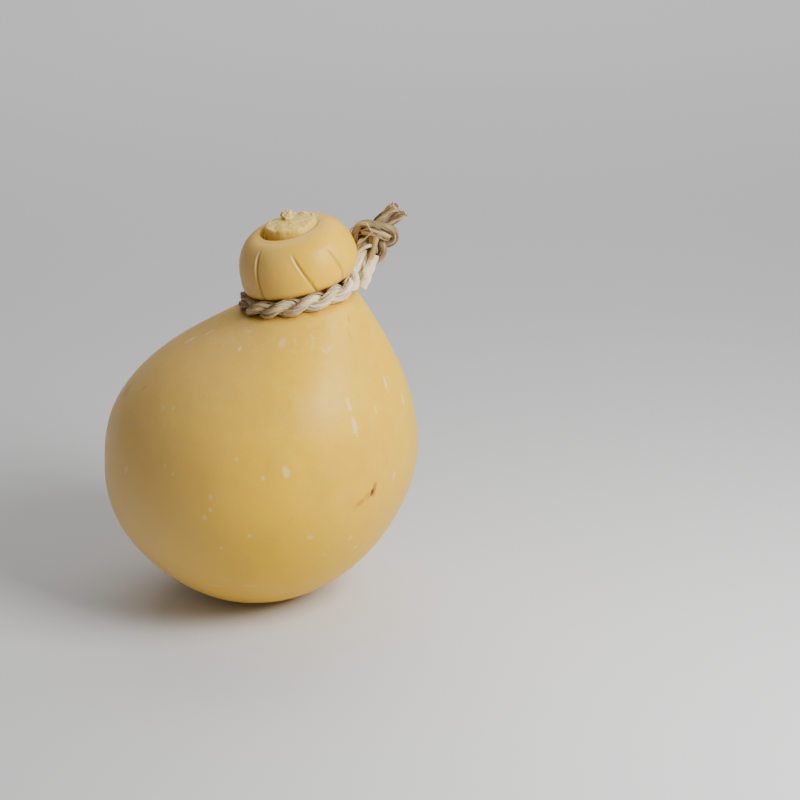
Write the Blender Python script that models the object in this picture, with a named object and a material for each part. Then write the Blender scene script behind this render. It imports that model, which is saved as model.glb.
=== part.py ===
"""Caciocavallo: a pear-shaped cheese of stretched curd with a folded head, tied round its neck with a straw cord.

Metres, +Z up. The cheese stands on the small flat spot under its belly, in the middle of the frame,
and its neck leans towards +X. The cord goes twice round the neck and its two ends share one overhand knot.
"""

import math

import bmesh
import bpy
import numpy as np
from mathutils import Matrix, Vector

# belly and shoulder, as a straight turned profile of radius against level
SEGMENTS = 56
BELLY_RADIUS = 0.0727
BELLY_LEVEL = 0.0683
BELLY_X = 0.00036
LOWER_DEPTH = 0.0711
LOWER_POWER = 1.85
LOWER_RINGS = 13
SHOULDER_RINGS = 15
SHOULDER_RISE = 0.0414
SHOULDER_REACH = 0.0349
SHOULDER_SLOPE = math.radians(44.6)

# how the profile leans: the foot sits a little to the left, the neck to the right and tipped
FOOT_SHIFT = -0.003
FOOT_SHIFT_TOP = 0.0795
FOOT_SHIFT_BOTTOM = 0.030
NECK_RADIUS = 0.0205
NECK_LEVEL = 0.148
NECK_SHIFT = 0.0191
SHIFT_POWER = 2.76
NECK_TIP = math.radians(13)
TIP_POWER = 8.0

# head: a squashed knob, its own middle and tip
HEAD_RADIUS = 0.027
HEAD_LEVEL = 0.1595
HEAD_X = 0.0190
HEAD_NOD = math.radians(9)
UNDERSIDE_POWER = 1.6
UNDERSIDE_RINGS = 6
CROWN_HEIGHT = 0.0175
CROWN_RADIUS = 0.0147
CROWN_RINGS = 9

# the folded top: a spiral groove between the rolled rim and the plug of curd tucked into it
FOLD_MIDDLE = Vector((0.0006, 0.0031))
FOLD_RADIUS = 0.0124
FOLD_SPIRAL = 0.0006
FOLD_WIDTH = 0.0013
FOLD_DEPTH = 0.0034
FOLD_DEEPEST = math.radians(-135)
PLUG_RISE = 0.0027
PLUG_EDGE = 0.0016
PLUG_DOME = 0.0014
TOP_RADII = (0.0160, 0.0149, 0.0140, 0.0132, 0.0125, 0.0117, 0.0108, 0.0094, 0.0072, 0.0048, 0.0024)

# the nib where the curd was pinched off, placed on the head's top
NIB_PLACE = Vector((-0.0005, 0.0080, 0.0209))
NIB_SIZE = Vector((0.0028, 0.0022, 0.0031))

# pleats down the head: angle at the top, angle at the bottom (0 at +X, -90 in front)
PLEATS = ((-132, -121), (-85, -66), (-46, -34), (28, 50), (95, 88), (158, 170))
PLEAT_RADIUS = 0.0009
PLEAT_SINK = 0.0001
PLEAT_TOP = 0.0140
PLEAT_BOTTOM = -0.0100
PLEAT_POINTS = 8

# cord
CORD_DIAMETER = 0.0032
CORD_GAP = 0.0003
CORD_STRAIGHT = 0.0012
CORD_SIDES = 2
RING_X = 0.0188
RING_LEVEL = 0.1468
RING_RADIUS = 0.0240
RING_TIP = math.radians(11.5)
GROOVE_RADIUS = 0.0044
TWIST_RADIUS = 0.00200
TWISTS_PER_TURN = 6.5
TWIST_START = math.radians(20)
RING_START = math.radians(52)
RING_TURNS = 2
RING_END = math.radians(8)
RING_STEP = math.radians(9)

# the cord's two ends: from the neck's back right up to a shared overhand knot, and their tails
FIRST_LEAD = (
    Vector((0.0433, 0.0080, 0.1547)), Vector((0.0447, 0.0094, 0.1575)), Vector((0.0458, 0.0093, 0.1606)),
)
SECOND_LEAD = (
    Vector((0.0402, 0.0163, 0.1490)), Vector((0.0453, 0.0122, 0.1466)), Vector((0.0483, 0.0084, 0.1478)),
    Vector((0.0484, 0.0077, 0.1520)), Vector((0.0484, 0.0083, 0.1570)), Vector((0.0490, 0.0090, 0.1602)),
)
FIRST_TIP = Vector((0.0632, 0.0100, 0.1842))
SECOND_TIP = Vector((0.0664, 0.0100, 0.1805))
KNOT_MIDDLE = Vector((0.0514, 0.0110, 0.1688))
KNOT_LEAN = math.radians(48)
KNOT_LOOP = 0.0040
KNOT_DEPTH = -0.0050
# half of the open knot, in loops along its line and across it, and in depths away from the viewer
KNOT_HALF = (
    (0.0, 0.0, 0.0), (-1.4, -1.0, 1.0), (-2.0, -3.0, 0.3), (-1.4, -4.0, -0.3), (0.0, -3.0, -0.5),
    (1.4, -1.0, 0.0), (2.4, 0.9, 0.0),
)
KNOT_RISE = 2.0
END_POINTS = 66
KNOT_POINTS = 56
SETTLE_ROUNDS = 90
SETTLE_PULL = 0.5
SETTLE_PUSHES = 3
SETTLE_SPARE = 0.0002
SETTLE_NEIGHBOURS = 3


def remove_everything():
    for item in list(bpy.data.objects):
        bpy.data.objects.remove(item, do_unlink=True)


def material(name, colour, roughness):
    mat = bpy.data.materials.new(name)
    mat.use_nodes = True
    shader = mat.node_tree.nodes["Principled BSDF"]
    shader.inputs["Base Color"].default_value = (*colour, 1.0)
    shader.inputs["Roughness"].default_value = roughness
    shader.inputs["Metallic"].default_value = 0.0
    return mat


def add_object(name, data, mat=None):
    item = bpy.data.objects.new(name, data)
    bpy.context.scene.collection.objects.link(item)
    if mat:
        data.materials.append(mat)
    return item


def finished_mesh(name, bm):
    bmesh.ops.recalc_face_normals(bm, faces=bm.faces[:])
    mesh = bpy.data.meshes.new(name)
    bm.to_mesh(mesh)
    bm.free()
    return mesh


def smoothstep(value):
    value = min(max(value, 0.0), 1.0)
    return value * value * (3 - 2 * value)


def lower_profile():
    """From the middle of the foot up to the belly: a flat spot, then a superellipse."""
    points = [(0.0, 0.0)]
    for ring in range(LOWER_RINGS):
        level = BELLY_LEVEL * (ring / LOWER_RINGS) ** 1.6
        drop = (BELLY_LEVEL - level) / LOWER_DEPTH
        points.append((BELLY_RADIUS * (1 - drop**LOWER_POWER) ** (1 / LOWER_POWER), level))
    return points


def shoulder_profile():
    """From the belly up to the neck: one cubic curve, upright at the belly."""
    start = Vector((BELLY_RADIUS, BELLY_LEVEL))
    end = Vector((NECK_RADIUS, NECK_LEVEL))
    first = start + Vector((0.0, SHOULDER_RISE))
    second = end + SHOULDER_REACH * Vector((math.cos(SHOULDER_SLOPE), -math.sin(SHOULDER_SLOPE)))
    points = []
    for ring in range(SHOULDER_RINGS + 1):
        t = ring / SHOULDER_RINGS
        point = (1 - t) ** 3 * start + 3 * (1 - t) ** 2 * t * first + 3 * (1 - t) * t**2 * second + t**3 * end
        points.append(tuple(point))
    return points


def head_profile():
    """From the neck round the knob to the middle of its top, without the folds."""
    points = []
    reach = HEAD_LEVEL - NECK_LEVEL
    for ring in range(1, UNDERSIDE_RINGS + 1):
        turn = math.pi / 2 * ring / UNDERSIDE_RINGS
        bulge = math.sin(turn) ** (2 / UNDERSIDE_POWER)
        drop = math.cos(turn) ** (2 / UNDERSIDE_POWER)
        points.append((NECK_RADIUS + (HEAD_RADIUS - NECK_RADIUS) * bulge, HEAD_LEVEL - reach * drop))
    for ring in range(1, CROWN_RINGS + 1):
        radius = HEAD_RADIUS + (TOP_RADII[0] - HEAD_RADIUS) * smoothstep(ring / CROWN_RINGS) ** 0.8
        points.append((radius, HEAD_LEVEL + crown_height(radius)))
    for radius in TOP_RADII[1:]:
        points.append((radius, HEAD_LEVEL + crown_height(radius)))
    points.append((0.0, HEAD_LEVEL + crown_height(0.0)))
    return points


def crown_height(radius):
    """Height of the head's plain top above its widest ring."""
    if radius > CROWN_RADIUS:
        share = (radius - CROWN_RADIUS) / (HEAD_RADIUS - CROWN_RADIUS)
        return CROWN_HEIGHT * math.sqrt(max(0.0, 1 - share * share))
    return CROWN_HEIGHT + PLUG_DOME * (1 - (radius / CROWN_RADIUS) ** 2)


def fold_relief(radius, angle):
    """The spiral fold: deepest at the front left, gone at the right, where the rim runs into the plug."""
    turn = math.cos(angle - FOLD_DEEPEST)
    groove_radius = FOLD_RADIUS + FOLD_SPIRAL * turn
    groove = FOLD_DEPTH * (1 + turn) / 2 * math.exp(-(((radius - groove_radius) / FOLD_WIDTH) ** 2))
    inside = smoothstep((groove_radius - radius) / PLUG_EDGE)
    rise = PLUG_RISE * (1 + turn * min(radius / groove_radius, 1.0)) / 2
    return rise * inside - groove


def head_top(radius, angle):
    """A point of the head's top. Its rings gather round the middle of the fold, and stay on the plain crown."""
    gather = smoothstep((HEAD_RADIUS - radius) / (HEAD_RADIUS - TOP_RADII[0]))
    across = FOLD_MIDDLE.x * gather + radius * math.cos(angle)
    back = FOLD_MIDDLE.y * gather + radius * math.sin(angle)
    height = crown_height(math.hypot(across, back)) + fold_relief(radius, angle)
    return head_place(Vector((across, back, height)))


def lean(level):
    """Middle of the ring at a level of the straight profile, how far its right side is tipped up, and its nod."""
    low = smoothstep((FOOT_SHIFT_TOP - level) / (FOOT_SHIFT_TOP - FOOT_SHIFT_BOTTOM))
    high = min(max(0.0, (level - BELLY_LEVEL) / (NECK_LEVEL - BELLY_LEVEL)), 1.0)
    middle = Vector((BELLY_X + FOOT_SHIFT * low, 0.0, level))
    middle.x += NECK_SHIFT * math.sin(math.pi / 2 * high**SHIFT_POWER)
    tip = NECK_TIP * high**TIP_POWER
    nod = 0.0
    if level > NECK_LEVEL:
        share = smoothstep((level - NECK_LEVEL) / (HEAD_LEVEL - NECK_LEVEL))
        nod = HEAD_NOD * share
        middle.x += (HEAD_X - middle.x) * share
    if level > HEAD_LEVEL:
        middle = head_place(Vector((0.0, 0.0, level - HEAD_LEVEL)))
    return middle, tip, nod


def turned(tip, nod):
    return Matrix.Rotation(nod, 3, "X") @ Matrix.Rotation(-tip, 3, "Y")


def head_place(point):
    """A point given in the head's own frame, from the middle of its widest ring."""
    return Vector((HEAD_X, 0.0, HEAD_LEVEL)) + turned(NECK_TIP, HEAD_NOD) @ point


def leaned(radius, angle, level):
    middle, tip, nod = lean(level)
    return middle + turned(tip, nod) @ Vector((radius * math.cos(angle), radius * math.sin(angle), 0))


def cheese_body():
    """The turned profile, leaned and folded."""
    bm = bmesh.new()
    profile = lower_profile() + shoulder_profile() + head_profile()
    verts = [bm.verts.new((radius, 0.0, level)) for radius, level in profile]
    edges = [bm.edges.new(pair) for pair in zip(verts, verts[1:])]
    bmesh.ops.spin(
        bm, geom=verts + edges, cent=(0, 0, 0), axis=(0, 0, 1), angle=2 * math.pi, steps=SEGMENTS, use_merge=True
    )
    bmesh.ops.remove_doubles(bm, verts=bm.verts[:], dist=1e-5)
    for vert in bm.verts:
        radius = math.hypot(vert.co.x, vert.co.y)
        angle = math.atan2(vert.co.y, vert.co.x)
        level = vert.co.z
        vert.co = head_top(radius, angle) if level > HEAD_LEVEL else leaned(radius, angle, level)
    return finished_mesh("cheese", bm)


def nib():
    """The small torn lump that is left where the curd was pinched off."""
    bm = bmesh.new()
    bmesh.ops.create_icosphere(bm, subdivisions=2, radius=1.0)
    for vert in bm.verts:
        swell = 1 + 0.16 * math.sin(5 * vert.co.x + 1) * math.cos(4 * vert.co.z) + 0.12 * math.sin(6 * vert.co.y)
        local = Vector(vert.co[axis] * NIB_SIZE[axis] * swell for axis in range(3))
        vert.co = head_place(NIB_PLACE + local)
    return finished_mesh("nib", bm)


def tube(name, points, radius, mat=None, sides=CORD_SIDES):
    curve = bpy.data.curves.new(name, "CURVE")
    curve.dimensions = "3D"
    curve.bevel_depth = radius
    curve.bevel_resolution = sides
    curve.use_fill_caps = True
    spline = curve.splines.new("POLY")
    spline.points.add(len(points) - 1)
    for target, point in zip(spline.points, points):
        target.co = (*point, 1.0)
    return add_object(name, curve, mat)


def pleat_points(top_angle, bottom_angle):
    """A line down the head's skin, from under the rim to above the neck."""
    points = []
    for step in range(PLEAT_POINTS):
        share = step / (PLEAT_POINTS - 1)
        angle = math.radians(top_angle + (bottom_angle - top_angle) * share)
        height = PLEAT_TOP + (PLEAT_BOTTOM - PLEAT_TOP) * share
        if height >= 0:
            radius = CROWN_RADIUS + (HEAD_RADIUS - CROWN_RADIUS) * math.sqrt(1 - (height / CROWN_HEIGHT) ** 2)
        else:
            drop = -height / (HEAD_LEVEL - NECK_LEVEL)
            bulge = (1 - drop**UNDERSIDE_POWER) ** (1 / UNDERSIDE_POWER)
            radius = NECK_RADIUS + (HEAD_RADIUS - NECK_RADIUS) * bulge
        fade = PLEAT_RADIUS * (0.9 * (1 - share) ** 4 - 0.1)
        points.append(leaned(radius + PLEAT_SINK + fade, angle, HEAD_LEVEL + height))
    return points


def ring_point(angle, away=0.0, along=0.0):
    """A point by the cord's ring round the neck: its angle, distance out from the middle line, and height."""
    radius = RING_RADIUS + away
    local = Vector((radius * math.cos(angle), radius * math.sin(angle), along))
    return Vector((RING_X, 0.0, RING_LEVEL)) + turned(RING_TIP, 0.0) @ local


def cord_groove():
    """The groove that the tied cord has pressed into the neck."""
    bm = bmesh.new()
    sides = 12
    verts = []
    for side in range(sides):
        turn = 2 * math.pi * side / sides
        verts.append(bm.verts.new((RING_RADIUS + GROOVE_RADIUS * math.cos(turn), 0, GROOVE_RADIUS * math.sin(turn))))
    edges = [bm.edges.new((verts[side], verts[(side + 1) % sides])) for side in range(sides)]
    bmesh.ops.spin(
        bm, geom=verts + edges, cent=(0, 0, 0), axis=(0, 0, 1), angle=2 * math.pi, steps=SEGMENTS, use_merge=True
    )
    bmesh.ops.remove_doubles(bm, verts=bm.verts[:], dist=1e-5)
    place = Matrix.Translation((RING_X, 0.0, RING_LEVEL)) @ turned(RING_TIP, 0.0).to_4x4()
    bmesh.ops.transform(bm, matrix=place, verts=bm.verts[:])
    return finished_mesh("cord_groove", bm)


def cutter(item):
    item.hide_render = True
    item.display_type = "WIRE"
    return item


def boolean(item, other, operation):
    modifier = item.modifiers.new(other.name, "BOOLEAN")
    modifier.operation = operation
    modifier.object = other
    modifier.solver = "EXACT"


def mesh_of_curve(item):
    """The tube of a curve object as a mesh object in its place."""
    graph = bpy.context.evaluated_depsgraph_get()
    mesh = bpy.data.meshes.new_from_object(item.evaluated_get(graph))
    name = item.name
    bpy.data.objects.remove(item)
    return add_object(name, mesh)


def build_cheese():
    mat = material("cheese_rind", (0.72, 0.50, 0.20), 0.42)
    cheese = add_object("cheese", cheese_body(), mat)
    boolean(cheese, cutter(add_object("nib_lump", nib())), "UNION")
    boolean(cheese, cutter(add_object("groove_cutter", cord_groove())), "DIFFERENCE")
    for number, angles in enumerate(PLEATS):
        line = tube(f"pleat_cutter_{number + 1}", pleat_points(*angles), PLEAT_RADIUS, sides=1)
        boolean(cheese, cutter(mesh_of_curve(line)), "DIFFERENCE")
    cheese.data.shade_smooth()
    return cheese


def smooth_route(points, count):
    """Evenly spaced points on a smooth curve through the route's own points."""
    padded = [2 * points[0] - points[1], *points, 2 * points[-1] - points[-2]]
    fine = []
    for before, start, end, after in zip(padded, padded[1:], padded[2:], padded[3:]):
        for t in np.arange(24) / 24:
            bend = (2 * before - 5 * start + 4 * end - after) * t**2
            twist = (3 * start - before - 3 * end + after) * t**3
            fine.append(start + 0.5 * ((end - before) * t + bend + twist))
    fine.append(points[-1])
    return evenly(np.array(fine), count)


def evenly(line, count):
    """The same line with its points at equal steps."""
    steps = np.linalg.norm(np.diff(line, axis=0), axis=1)
    lengths = np.concatenate(([0.0], np.cumsum(steps)))
    wanted = np.linspace(0.0, lengths[-1], count)
    return np.stack([np.interp(wanted, lengths, line[:, axis]) for axis in range(3)], axis=-1)


def ring_cord(angle):
    """The middle of the cord where it has gone round the neck by an angle."""
    twist = TWISTS_PER_TURN * angle + TWIST_START
    return ring_point(angle, TWIST_RADIUS * math.cos(twist), TWIST_RADIUS * math.sin(twist))


def neck_route():
    """Twice round the neck, the two turns twisted about each other."""
    total = RING_TURNS * 2 * math.pi + RING_END - RING_START
    count = round(total / RING_STEP)
    return [ring_cord(RING_START + total * number / count) for number in range(count + 1)]


def knot_place(along, across, depth):
    """A point of the open knot, from the middle of it: along its line, across it and towards the viewer."""
    line = Vector((math.sin(KNOT_LEAN), 0.0, math.cos(KNOT_LEAN)))
    side = Vector((-math.cos(KNOT_LEAN), 0.0, math.sin(KNOT_LEAN)))
    flat = KNOT_LOOP * (along * line + (across + KNOT_RISE) * side)
    return KNOT_MIDDLE + flat + KNOT_DEPTH * depth * Vector((0.0, -1.0, 0.0))


def open_knot(start, tip, side):
    """One end's way through the knot before it is drawn tight, beside the other end."""
    first_half = [(-along, across, -depth) for along, across, depth in reversed(KNOT_HALF[1:])]
    line = [knot_place(*point) for point in (*first_half, *KNOT_HALF)]
    route = [start]
    for before, point, after in zip(line, line[1:], line[2:]):
        run = after - before
        across = Vector((run.z, 0.0, -run.x)).normalized()
        route.append(point - side * (CORD_DIAMETER + CORD_GAP) / 2 * across)
    return smooth_route([np.array(point) for point in (*route, tip)], KNOT_POINTS)


def settle(strands):
    """Draw the open knot tight: each strand shortens like a pulled cord, and stops where it touches."""
    touching = CORD_DIAMETER + CORD_GAP + SETTLE_SPARE
    count = len(strands)
    place = np.tile(np.arange(KNOT_POINTS), count)
    owner = np.repeat(np.arange(count), KNOT_POINTS)
    neighbours = (owner[:, None] == owner) & (np.abs(place[:, None] - place) <= SETTLE_NEIGHBOURS)
    held = (place == 0) | (place == KNOT_POINTS - 1)
    for number in range(SETTLE_ROUNDS):
        for strand in strands:
            strand[1:-1] += SETTLE_PULL * ((strand[:-2] + strand[2:]) / 2 - strand[1:-1])
        for _ in range(SETTLE_PUSHES):
            points = np.concatenate(strands)
            apart = points[:, None] - points
            distance = np.linalg.norm(apart, axis=-1) + 1e-9
            short = np.where(neighbours, 0.0, np.maximum(touching - distance, 0.0))
            push = (apart / distance[..., None] * short[..., None]).sum(axis=1)
            push *= 0.5 / np.maximum((short > 0).sum(axis=1), 1)[:, None] ** 0.7
            push[held] = 0.0
            strands = np.split(points + push, count)
        if number % 10 == 9:
            strands = [evenly(strand, KNOT_POINTS) for strand in strands]
    return strands


def end_routes():
    """The two ends of the cord, from where they leave the neck to their tips."""
    neck = neck_route()
    starts = []
    for end, before in ((neck[-1], neck[-2]), (neck[0], neck[1])):
        ahead = (end - before).normalized()
        starts.append((end + CORD_GAP * ahead, end + CORD_STRAIGHT * ahead))
    leads = (FIRST_LEAD, SECOND_LEAD)
    tips = (FIRST_TIP, SECOND_TIP)
    knot = settle([open_knot(lead[-1], tip, side) for lead, tip, side in zip(leads, tips, (1, -1))])
    routes = []
    for start, lead, strand in zip(starts, leads, knot):
        points = [np.array(point) for point in (*start, *lead)] + list(strand[2:])
        routes.append(smooth_route(points, END_POINTS))
    return routes


def main():
    remove_everything()
    build_cheese()
    mat = material("straw_cord", (0.50, 0.40, 0.26), 0.85)
    tube("cord_neck", neck_route(), CORD_DIAMETER / 2, mat)
    for name, route in zip(("cord_end_a", "cord_end_b"), end_routes()):
        tube(name, route, CORD_DIAMETER / 2, mat)


main()
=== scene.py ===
# %% [markdown]
# # A caciocavallo on its straw cord
# This lesson dresses one stretched-curd cheese: a pear-shaped body with a folded knob for a head, and a
# pale straw cord tied round its neck. The construction comes first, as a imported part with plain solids.
# Each step here makes one visible piece over those solids, in metres and in the same place, and gives it
# a finish made of nodes.

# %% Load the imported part
import math
import random

import bmesh
import bpy
import numpy as np
from mathutils import Matrix, Vector, noise


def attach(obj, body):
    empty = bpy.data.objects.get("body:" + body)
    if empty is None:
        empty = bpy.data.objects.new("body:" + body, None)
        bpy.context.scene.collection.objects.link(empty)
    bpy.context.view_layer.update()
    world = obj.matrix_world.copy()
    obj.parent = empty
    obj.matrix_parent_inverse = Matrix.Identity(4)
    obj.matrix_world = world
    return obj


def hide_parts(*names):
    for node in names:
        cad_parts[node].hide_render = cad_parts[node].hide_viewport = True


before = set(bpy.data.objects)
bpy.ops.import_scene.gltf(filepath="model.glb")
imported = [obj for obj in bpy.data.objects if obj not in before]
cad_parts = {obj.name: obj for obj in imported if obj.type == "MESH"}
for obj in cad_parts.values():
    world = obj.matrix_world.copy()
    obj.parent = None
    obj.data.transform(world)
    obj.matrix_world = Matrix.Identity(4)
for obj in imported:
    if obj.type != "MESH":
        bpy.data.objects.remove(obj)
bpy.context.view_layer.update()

print("solids:", sorted(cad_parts))

# %% [markdown]
# ## Camera
# A long lens from about a metre away looks a little down on the cheese, as a packshot does. The lens is
# worked out from the width of view wanted at the target, so the framing stays a real size. There is no
# depth of field.

# %% Camera
CAMERA_TARGET = Vector((0.0646, 0.0, 0.0941))
CAMERA_DISTANCE = 0.95
CAMERA_ELEVATION = math.radians(20)
VIEW_WIDTH = 0.3696
SENSOR_WIDTH = 36.0

lens = bpy.data.cameras.new("camera")
lens.sensor_width = SENSOR_WIDTH
lens.lens = SENSOR_WIDTH * CAMERA_DISTANCE / VIEW_WIDTH
camera = bpy.data.objects.new("camera", lens)
bpy.context.scene.collection.objects.link(camera)
backwards = Vector((0.0, -math.cos(CAMERA_ELEVATION), math.sin(CAMERA_ELEVATION)))
camera.location = CAMERA_TARGET + CAMERA_DISTANCE * backwards
camera.rotation_euler = (math.pi / 2 - CAMERA_ELEVATION, 0.0, 0.0)
bpy.context.scene.camera = camera
print("lens:", round(lens.lens, 1), "mm")

# %% [markdown]
# ## The cord's way round the neck
# The cord goes twice round the neck, and the two turns are twisted about each other, so one band of
# lozenges shows. A formula fits that better than points picked by hand: the middle of the cord circles
# the ring's own line while the ring goes round the neck. The numbers are those of the solid tubes, so the
# straw lies where the tubes lie.

# %% Helpers: smooth steps, turned frames and even spacing
CURVE_STEPS = 24


def smoothstep(value):
    """0 below 0, 1 above 1 and smooth between, for a number or an array."""
    value = np.clip(value, 0.0, 1.0)
    return value * value * (3 - 2 * value)


def turned(tip, nod):
    """Tipped up on the right by one angle, then nodded to the front by another."""
    return Matrix.Rotation(nod, 3, "X") @ Matrix.Rotation(-tip, 3, "Y")


def evenly(line, count):
    """The same line with its points at equal steps."""
    steps = np.linalg.norm(np.diff(line, axis=0), axis=1)
    lengths = np.concatenate(([0.0], np.cumsum(steps)))
    wanted = np.linspace(0.0, lengths[-1], count)
    return np.stack([np.interp(wanted, lengths, line[:, axis]) for axis in range(3)], axis=-1)


def length_of(line):
    """The length along a line of points."""
    return float(np.linalg.norm(np.diff(line, axis=0), axis=1).sum())


def smooth_route(points, count):
    """Evenly spaced points on a smooth curve through a route's own points."""
    points = [np.array(point) for point in points]
    padded = [2 * points[0] - points[1], *points, 2 * points[-1] - points[-2]]
    fine = []
    for before, start, end, after in zip(padded, padded[1:], padded[2:], padded[3:]):
        for t in np.arange(CURVE_STEPS) / CURVE_STEPS:
            bend = (2 * before - 5 * start + 4 * end - after) * t**2
            twist = (3 * start - before - 3 * end + after) * t**3
            fine.append(start + 0.5 * ((end - before) * t + bend + twist))
    fine.append(points[-1])
    return evenly(np.array(fine), count)


# %% The ring round the neck
CORD_DIAMETER = 0.0032
CORD_GAP = 0.0003
CORD_STRAIGHT = 0.0012
RING_MIDDLE = Vector((0.0188, 0.0, 0.1468))
RING_RADIUS = 0.0240
RING_TIP = math.radians(11.5)
TWIST_RADIUS = 0.00200
TWISTS_PER_TURN = 6.5
TWIST_START = math.radians(20)
RING_START = math.radians(52)
RING_TURNS = 2
RING_END = math.radians(8)
RING_STEP = math.radians(9)


def ring_point(angle, away=0.0, along=0.0):
    """A point by the ring: its angle round the neck, distance out from the ring's line, and height."""
    radius = RING_RADIUS + away
    local = Vector((radius * math.cos(angle), radius * math.sin(angle), along))
    return RING_MIDDLE + turned(RING_TIP, 0.0) @ local


def ring_cord(angle):
    """The middle of the cord where it has gone round the neck by an angle."""
    twist = TWISTS_PER_TURN * angle + TWIST_START
    return ring_point(angle, TWIST_RADIUS * math.cos(twist), TWIST_RADIUS * math.sin(twist))


neck_sweep = RING_TURNS * 2 * math.pi + RING_END - RING_START
neck_steps = round(neck_sweep / RING_STEP)
neck_route = [ring_cord(RING_START + neck_sweep * number / neck_steps) for number in range(neck_steps + 1)]
print("points round the neck:", len(neck_route))

# %% [markdown]
# ## The two free ends and their knot
# Both ends rise at the neck's right and share one overhand knot. A knot is hard to place point by point,
# because its strands touch everywhere. So it starts as an open drawing of a few points, and is then
# pulled tight by a small rule: each strand shortens like a pulled cord, and stops where it touches
# another.

# %% Where the ends go
FIRST_LEAD = (
    Vector((0.0433, 0.0080, 0.1547)), Vector((0.0447, 0.0094, 0.1575)), Vector((0.0458, 0.0093, 0.1606)),
)
SECOND_LEAD = (
    Vector((0.0402, 0.0163, 0.1490)), Vector((0.0453, 0.0122, 0.1466)), Vector((0.0483, 0.0084, 0.1478)),
    Vector((0.0484, 0.0077, 0.1520)), Vector((0.0484, 0.0083, 0.1570)), Vector((0.0490, 0.0090, 0.1602)),
)
FIRST_TIP = Vector((0.0632, 0.0100, 0.1842))
SECOND_TIP = Vector((0.0664, 0.0100, 0.1805))

# %% The open knot
KNOT_MIDDLE = Vector((0.0514, 0.0110, 0.1688))
KNOT_LEAN = math.radians(48)
KNOT_LOOP = 0.0040
KNOT_DEPTH = -0.0050
KNOT_HALF = (
    (0.0, 0.0, 0.0), (-1.4, -1.0, 1.0), (-2.0, -3.0, 0.3), (-1.4, -4.0, -0.3), (0.0, -3.0, -0.5),
    (1.4, -1.0, 0.0), (2.4, 0.9, 0.0),
)
KNOT_RISE = 2.0
KNOT_POINTS = 56


def knot_place(along, across, depth):
    """A point of the open knot, from its middle: along its line, across it and towards the viewer."""
    line = Vector((math.sin(KNOT_LEAN), 0.0, math.cos(KNOT_LEAN)))
    side = Vector((-math.cos(KNOT_LEAN), 0.0, math.sin(KNOT_LEAN)))
    flat = KNOT_LOOP * (along * line + (across + KNOT_RISE) * side)
    return KNOT_MIDDLE + flat + KNOT_DEPTH * depth * Vector((0.0, -1.0, 0.0))


def open_knot(start, tip, side):
    """One end's way through the knot before it is drawn tight, beside the other end."""
    first_half = [(-along, across, -depth) for along, across, depth in reversed(KNOT_HALF[1:])]
    line = [knot_place(*point) for point in (*first_half, *KNOT_HALF)]
    route = [start]
    for before, point, after in zip(line, line[1:], line[2:]):
        run = after - before
        across = Vector((run.z, 0.0, -run.x)).normalized()
        route.append(point - side * (CORD_DIAMETER + CORD_GAP) / 2 * across)
    return smooth_route([*route, tip], KNOT_POINTS)


# %% Draw the knot tight
END_POINTS = 66
SETTLE_ROUNDS = 90
SETTLE_PULL = 0.5
SETTLE_PUSHES = 3
SETTLE_SPARE = 0.0002
SETTLE_NEIGHBOURS = 3
SETTLE_SHARING = 0.7
SETTLE_EVEN_EVERY = 10


def settle(strands):
    """Each strand shortens like a pulled cord, and is pushed back where it comes too near another."""
    touching = CORD_DIAMETER + CORD_GAP + SETTLE_SPARE
    count = len(strands)
    place = np.tile(np.arange(KNOT_POINTS), count)
    owner = np.repeat(np.arange(count), KNOT_POINTS)
    neighbours = (owner[:, None] == owner) & (np.abs(place[:, None] - place) <= SETTLE_NEIGHBOURS)
    held = (place == 0) | (place == KNOT_POINTS - 1)
    for number in range(SETTLE_ROUNDS):
        for strand in strands:
            strand[1:-1] += SETTLE_PULL * ((strand[:-2] + strand[2:]) / 2 - strand[1:-1])
        for _ in range(SETTLE_PUSHES):
            points = np.concatenate(strands)
            apart = points[:, None] - points
            distance = np.linalg.norm(apart, axis=-1) + 1e-9
            short = np.where(neighbours, 0.0, np.maximum(touching - distance, 0.0))
            push = (apart / distance[..., None] * short[..., None]).sum(axis=1)
            push *= 0.5 / np.maximum((short > 0).sum(axis=1), 1)[:, None] ** SETTLE_SHARING
            push[held] = 0.0
            strands = np.split(points + push, count)
        if (number + 1) % SETTLE_EVEN_EVERY == 0:
            strands = [evenly(strand, KNOT_POINTS) for strand in strands]
    return strands


starts = []
for end, before in ((neck_route[-1], neck_route[-2]), (neck_route[0], neck_route[1])):
    ahead = (end - before).normalized()
    starts.append((end + CORD_GAP * ahead, end + CORD_STRAIGHT * ahead))
knot_strands = settle([
    open_knot(FIRST_LEAD[-1], FIRST_TIP, 1),
    open_knot(SECOND_LEAD[-1], SECOND_TIP, -1),
])
end_routes = []
for start, lead, strand in zip(starts, (FIRST_LEAD, SECOND_LEAD), knot_strands):
    end_routes.append(smooth_route([*start, *lead, *strand[2:]], END_POINTS))
end_lengths = [length_of(route) for route in end_routes]
print("free ends:", [round(length * 1000) for length in end_lengths], "mm")

# %% [markdown]
# ## Straw strands
# The cord isn't spun yarn. It is a bundle of flat dry leaves, 0.7 to 2.3 mm wide, laid side by side and
# slightly twisted, so a strand shows long overlapping ribbons with torn edges. A round tube with a bump
# map would miss those edges. Here every leaf is real: a flat grid rolled into a thin closed ribbon along
# the strand's own line.

# %% Frames along a line
def directions(line):
    """The unit direction of a line at each of its points."""
    run = np.gradient(line, axis=0)
    return run / np.linalg.norm(run, axis=1)[:, None]


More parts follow.
